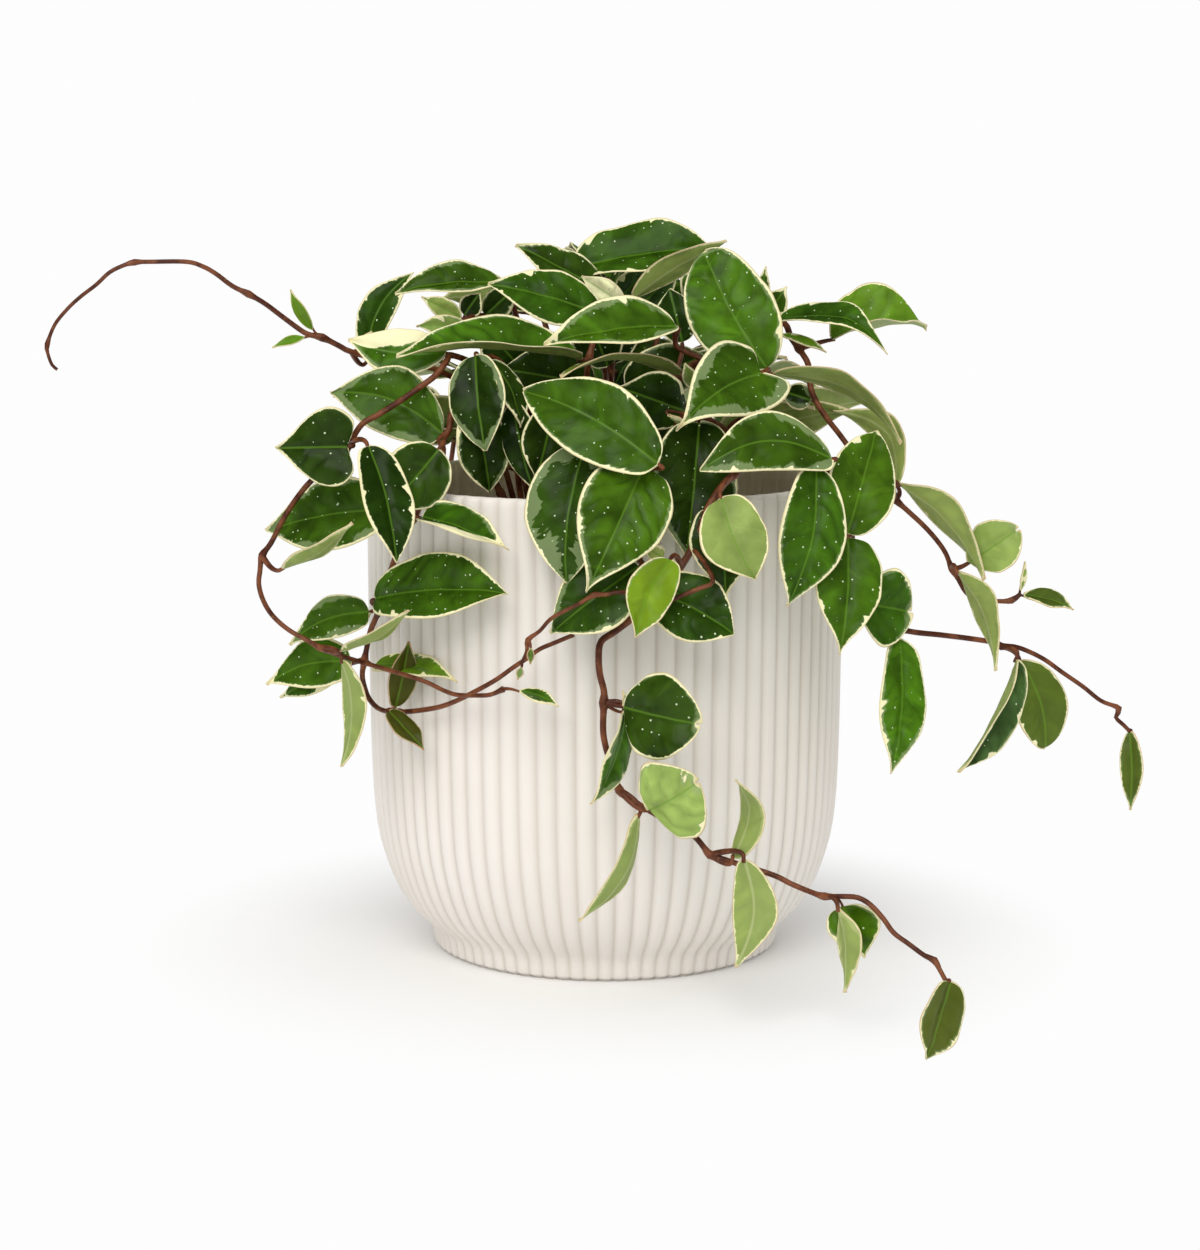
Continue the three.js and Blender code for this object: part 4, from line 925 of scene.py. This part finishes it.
def vein_wave(at):
    """0 along the side veins and 1 half way between them."""
    drift = mottle(at.even, 10, 1) * 12
    row = at.slant - at.out * at.out * 0.025 + drift
    return ((row + at.seed) / VEIN_STEP * math.pi).calc("SINE").calc("ABSOLUTE")


def fleck_marks(group, at):
    """Pale dots of many sizes, and short dashes here and there."""
    shifted = wire(group, "CombineXYZ", {"X": at.x + at.seed, "Y": at.y})
    cells = {"Vector": shifted, "Scale": 0.27, "Randomness": 1.0}
    spots = wires(node(group, "TexVoronoi", cells, voronoi_dimensions="2D"))
    pick = wire(group, "SeparateColor", {"Color": spots["Color"]}, "Red")
    dot = ease(spots["Distance"] - (pick - 0.64) * 0.27, 0.03, -0.03)
    dash = ease(mottle(at.streak, 0.75, 1), 0.74, 0.84) * ease(mottle(at.even, 9, 2), 0.52, 0.66)
    return dot.at_least(dash * 0.4)


def make_leaf_group():
    """Where a blade has its margin, patches, veins and flecks, how its face swells, and its mottle
    with painted shade and painted sheen.
    """
    names = ["Cream", "Tan", "Patch", "Midrib", "Veins", "Fleck", "Height", "Mottle_shade_sheen"]
    group, _, result = new_group("leaf_pattern", [], names)
    at = blade_places(group)
    wave = vein_wave(at)
    midrib = ease(at.out - (at.y * -0.003 + 0.3), 0.3, -0.05)
    give(result, dict(margin_marks(at), Midrib=midrib, Veins=ease(wave, 0.4, 0.0),
                      Fleck=fleck_marks(group, at)))

    groove = ease(at.out, 0.0, 3.0)
    quilt = wire(group, "TexWhiteNoise", {"W": at.seed}, "Value", noise_dimensions="1D")
    strength = (quilt * 0.8 + 0.2) * ease(mottle(at.even, 16, 1), 0.3, 0.65)
    cushion = wave * groove * strength
    lumps = mottle(at.even, 13, 1) * 2.4 + mottle(at.even, 0.7, 2) * 0.012
    # The mottle is random patches plus painted shade: darker along the side veins and lighter on
    # the swellings between them.
    mottle_and_crease_shade = mottle(at.even, 9, 3) * 0.75 + cushion * 0.25
    # Painted sheen: pale slanted streaks that stand in for highlights on the quilted face, added to
    # the mottle.
    painted_sheen = ease(mottle(at.streak, 4.5, 3), 0.56, 0.72)
    give(result, dict(Height=cushion * 0.45 + lumps + groove * 0.25, Mottle_shade_sheen=painted_sheen * 0.14 + mottle_and_crease_shade))
    return group


def make_leaf_upper(pattern):
    material, tree, shader = new_material("hoya_leaf_upper")
    marks = use_group(tree, pattern)
    tint = wires(node(tree, "Attribute", {}, attribute_name="tone"))
    tone, blush = tint["Color"], tint["Alpha"]
    # The tone is scaled by the mottle, which holds painted shade along the side veins, painted
    # light on the swellings and painted sheen in streaks; blushed leaves get less of it.
    swing = (blush * -3 + 2).at_least(0.7)
    green = shaded(tone, (marks["Mottle_shade_sheen"] - 0.45) * swing + 0.92)
    green = tinted(marks["Patch"] * 0.55, green, GREY_GREEN)
    green = tinted(marks["Midrib"] * 0.45, green, MIDRIB_GREEN)
    green = tinted(marks["Fleck"] * (blush * -3 + 1).at_least(0), green, FLECK)
    whole = tinted(marks["Cream"], green, CREAM)
    rim = marks["Tan"] * (blush * 0.6 + 0.3)
    whole = tinted(rim, whole, tinted(blush, MARGIN_TAN, MARGIN_RED))
    gloss = wire(tree, "MapRange", {"Value": marks["Mottle_shade_sheen"], "To Min": 0.26, "To Max": 0.42})
    give(shader, {"Base Color": whole, "Roughness": gloss, "Specular IOR Level": 0.12})
    give_bump(shader, marks["Height"], 1)
    return material


def make_leaf_under(pattern):
    material, tree, shader = new_material("hoya_leaf_under")
    marks = use_group(tree, pattern)
    # The underside's green is scaled by the same mottle, so it too has painted shade along the side
    # veins and painted sheen in streaks.
    light = wire(tree, "MapRange", {"Value": marks["Mottle_shade_sheen"], "From Min": 0.2, "From Max": 0.7,
                                    "To Min": 0.8, "To Max": 1.1})
    green = shaded(UNDER_GREEN, light)
    green = tinted(marks["Veins"] * 0.12, green, UNDER_VEIN)
    green = tinted(marks["Midrib"] * 0.6, green, UNDER_MIDRIB)
    green = tinted(marks["Patch"] * 0.6, green, UNDER_PATCH)
    whole = tinted(marks["Cream"] * 0.8, green, CREAM)
    whole = tinted(marks["Tan"] * 0.5, whole, MARGIN_RED)
    give(shader, {"Base Color": whole, "Roughness": 0.58})
    give_bump(shader, marks["Height"], 0.6)
    return material


# ---- Stem, pot and soil finishes ----
BARK_RING = (0.30, 0.15, 0.06, 1)
CLAY_WARM, CLAY_PALE = (0.80, 0.75, 0.695, 1), (0.83, 0.79, 0.74, 1)
# Painted shade for the valleys between the flutes.
CLAY_GROOVE_SHADE = (0.56, 0.49, 0.42, 1)
CLAY_INSIDE = (0.84, 0.72, 0.57, 1)
CLAY_SPECK = (0.60, 0.53, 0.44, 1)


def make_bark(name, dark, light, grain, gloss):
    material, tree, shader = new_material(name)
    place = in_millimetres(tree)
    skin = use_group(tree, grain, Size=0.7, Coarse=0.8)
    colour = tinted(ease(mottle(place, 6, 2), 0.35, 0.65), dark, light)
    colour = tinted(ease(mottle(place, 1.4, 2), 0.60, 0.72) * 0.3, colour, BARK_RING)
    give(shader, {"Base Color": colour, "Roughness": gloss, "Specular IOR Level": 0.3})
    give_bump(shader, skin["Height"], 0.12)
    return material


def make_ceramic(grain):
    material, tree, shader = new_material("pot_ceramic")
    place = in_millimetres(tree)
    skin = use_group(tree, grain, Size=0.5, Coarse=1.5)
    groove = wire(tree, "Attribute", {}, "Fac", attribute_name="groove")
    inside = wire(tree, "Attribute", {}, "Fac", attribute_name="inside")
    colour = tinted(ease(mottle(place, 60, 3), 0.3, 0.7), CLAY_WARM, CLAY_PALE)
    # Painted shade in the valleys of the flutes.
    colour = tinted(groove * 0.5, colour, CLAY_GROOVE_SHADE)
    colour = tinted(inside, colour, CLAY_INSIDE)
    colour = tinted(ease(mottle(place, 0.9, 2), 0.70, 0.78) * 0.25, colour, CLAY_SPECK)
    rough = wire(tree, "MapRange", {"Value": skin["Value"], "To Min": 0.55, "To Max": 0.75})
    give(shader, {"Base Color": colour, "Roughness": rough, "Specular IOR Level": 0.35})
    give_bump(shader, skin["Height"], 0.05)
    return material


def make_earth(name, dark, light, grain, size):
    material, tree, shader = new_material(name)
    place = in_millimetres(tree)
    skin = use_group(tree, grain, Size=size, Coarse=1.2)
    colour = tinted(ease(mottle(place, 2 * size, 4), 0.35, 0.7), dark, light)
    give(shader, {"Base Color": colour, "Roughness": 0.95})
    give_bump(shader, skin["Height"], 0.9)
    return material


# ---- Stage ----
FLOOR_NEAR, FLOOR_FAR = 0.08, 0.2  # metres from the pot, where the floor starts to fade
FLOOR_PAINT = (0.905, 0.905, 0.902, 1)
WHITE, OFF_WHITE = (1, 1, 1, 1), (0.985, 0.985, 0.985, 1)
SKY_LIGHT, SKY_GLOSS = 0.76, 0.05  # on rough and on shiny surfaces
SENSOR, VIEW_LENGTH = 36, 2896 / 1250  # in millimetres, and focal length over view height


def make_camera():
    camera = bpy.data.cameras.new("view")
    camera.sensor_width = SENSOR
    camera.lens = VIEW_LENGTH * SENSOR
    camera.clip_start, camera.clip_end = 0.05, 20
    seat = bpy.data.objects.new("view", camera)
    seat.location = (-0.00198, -1.0937, 0.2868)
    seat.rotation_euler = (math.radians(90 - 8.552), 0, 0)
    bpy.context.scene.collection.objects.link(seat)
    bpy.context.scene.camera = seat


def make_light(name, place, aim, size, power, colour):
    lamp = bpy.data.lights.new(name, "AREA")
    lamp.shape = "DISK"
    lamp.size = size
    lamp.energy = power
    lamp.color = colour
    seat = bpy.data.objects.new(name, lamp)
    seat.location = place
    seat.rotation_euler = (Vector(aim) - Vector(place)).to_track_quat("-Z", "Y").to_euler()
    bpy.context.scene.collection.objects.link(seat)


def make_floor():
    """A pale floor that fades to white away from the plant."""
    bm = bmesh.new()
    bmesh.ops.create_grid(bm, x_segments=1, y_segments=1, size=8000)
    material, tree, shader = new_material("floor_paint")
    give(shader, {"Base Color": FLOOR_PAINT, "Roughness": 0.8})
    place = wire(tree, "TexCoord", {}, "Object")
    away = wire(tree, "VectorMath", {0: place}, "Value", operation="LENGTH")
    white = wire(tree, "Emission", {"Color": OFF_WHITE, "Strength": 1})
    far = ease(away, FLOOR_NEAR, FLOOR_FAR)
    both = wire(tree, "MixShader", {0: far, 1: Wire(shader.outputs[0]), 2: white})
    give(tree.nodes["Material Output"], {"Surface": both})
    finished(bm, "floor", [material])


def make_sky():
    """A white sky that is fainter in shiny surfaces, with an off-white backdrop."""
    world = bpy.data.worlds.new("studio")
    world.use_nodes = True
    tree = world.node_tree
    sky = tree.nodes["Background"]
    give(sky, {"Color": WHITE, "Strength": SKY_LIGHT})
    dim = wire(tree, "Background", {"Color": WHITE, "Strength": SKY_GLOSS})
    backdrop = wire(tree, "Background", {"Color": OFF_WHITE, "Strength": 1})
    rays = wires(node(tree, "LightPath", {}))
    lit = wire(tree, "MixShader", {0: rays["Is Glossy Ray"], 1: Wire(sky.outputs[0]), 2: dim})
    both = wire(tree, "MixShader", {0: rays["Is Camera Ray"], 1: lit, 2: backdrop})
    give(tree.nodes["World Output"], {"Surface": both})
    bpy.context.scene.world = world
    bpy.context.scene.view_settings.view_transform = "Standard"


# ---- The whole plant ----
SOIL_DARK, SOIL_LIGHT = (0.012, 0.008, 0.005, 1), (0.06, 0.038, 0.022, 1)
CRUMB_DARK, CRUMB_LIGHT = (0.03, 0.018, 0.01, 1), (0.16, 0.10, 0.055, 1)
STEM_DARK, STEM_LIGHT = (0.068, 0.014, 0.004, 1), (0.19, 0.058, 0.020, 1)
STALK_DARK, STALK_LIGHT = (0.12, 0.040, 0.010, 1), (0.16, 0.11, 0.022, 1)

make_camera()
make_floor()
make_sky()
make_light("key", (-0.3, -1.4, 1.4), (0, 0, 0.12), 1.4, 19, (1, 0.985, 0.95))

grain_group = make_grain_group()
leaf_group = make_leaf_group()
make_pot(make_ceramic(grain_group))
make_soil(
    make_earth("potting_soil", SOIL_DARK, SOIL_LIGHT, grain_group, 1.2),
    make_earth("soil_bits", CRUMB_DARK, CRUMB_LIGHT, grain_group, 0.8),
)
stem_looks = [
    make_bark("hoya_stem", STEM_DARK, STEM_LIGHT, grain_group, 0.42),
    make_bark("hoya_stalk", STALK_DARK, STALK_LIGHT, grain_group, 0.48),
]
leaf_looks = [make_leaf_upper(leaf_group), make_leaf_under(leaf_group)]
leaf_draw = random.Random(5)
for stem_name, stem_shoots in STEMS.items():
    make_stem(stem_name, stem_shoots, stem_looks)
    make_leaves(stem_name, stem_shoots, leaf_looks, leaf_draw)
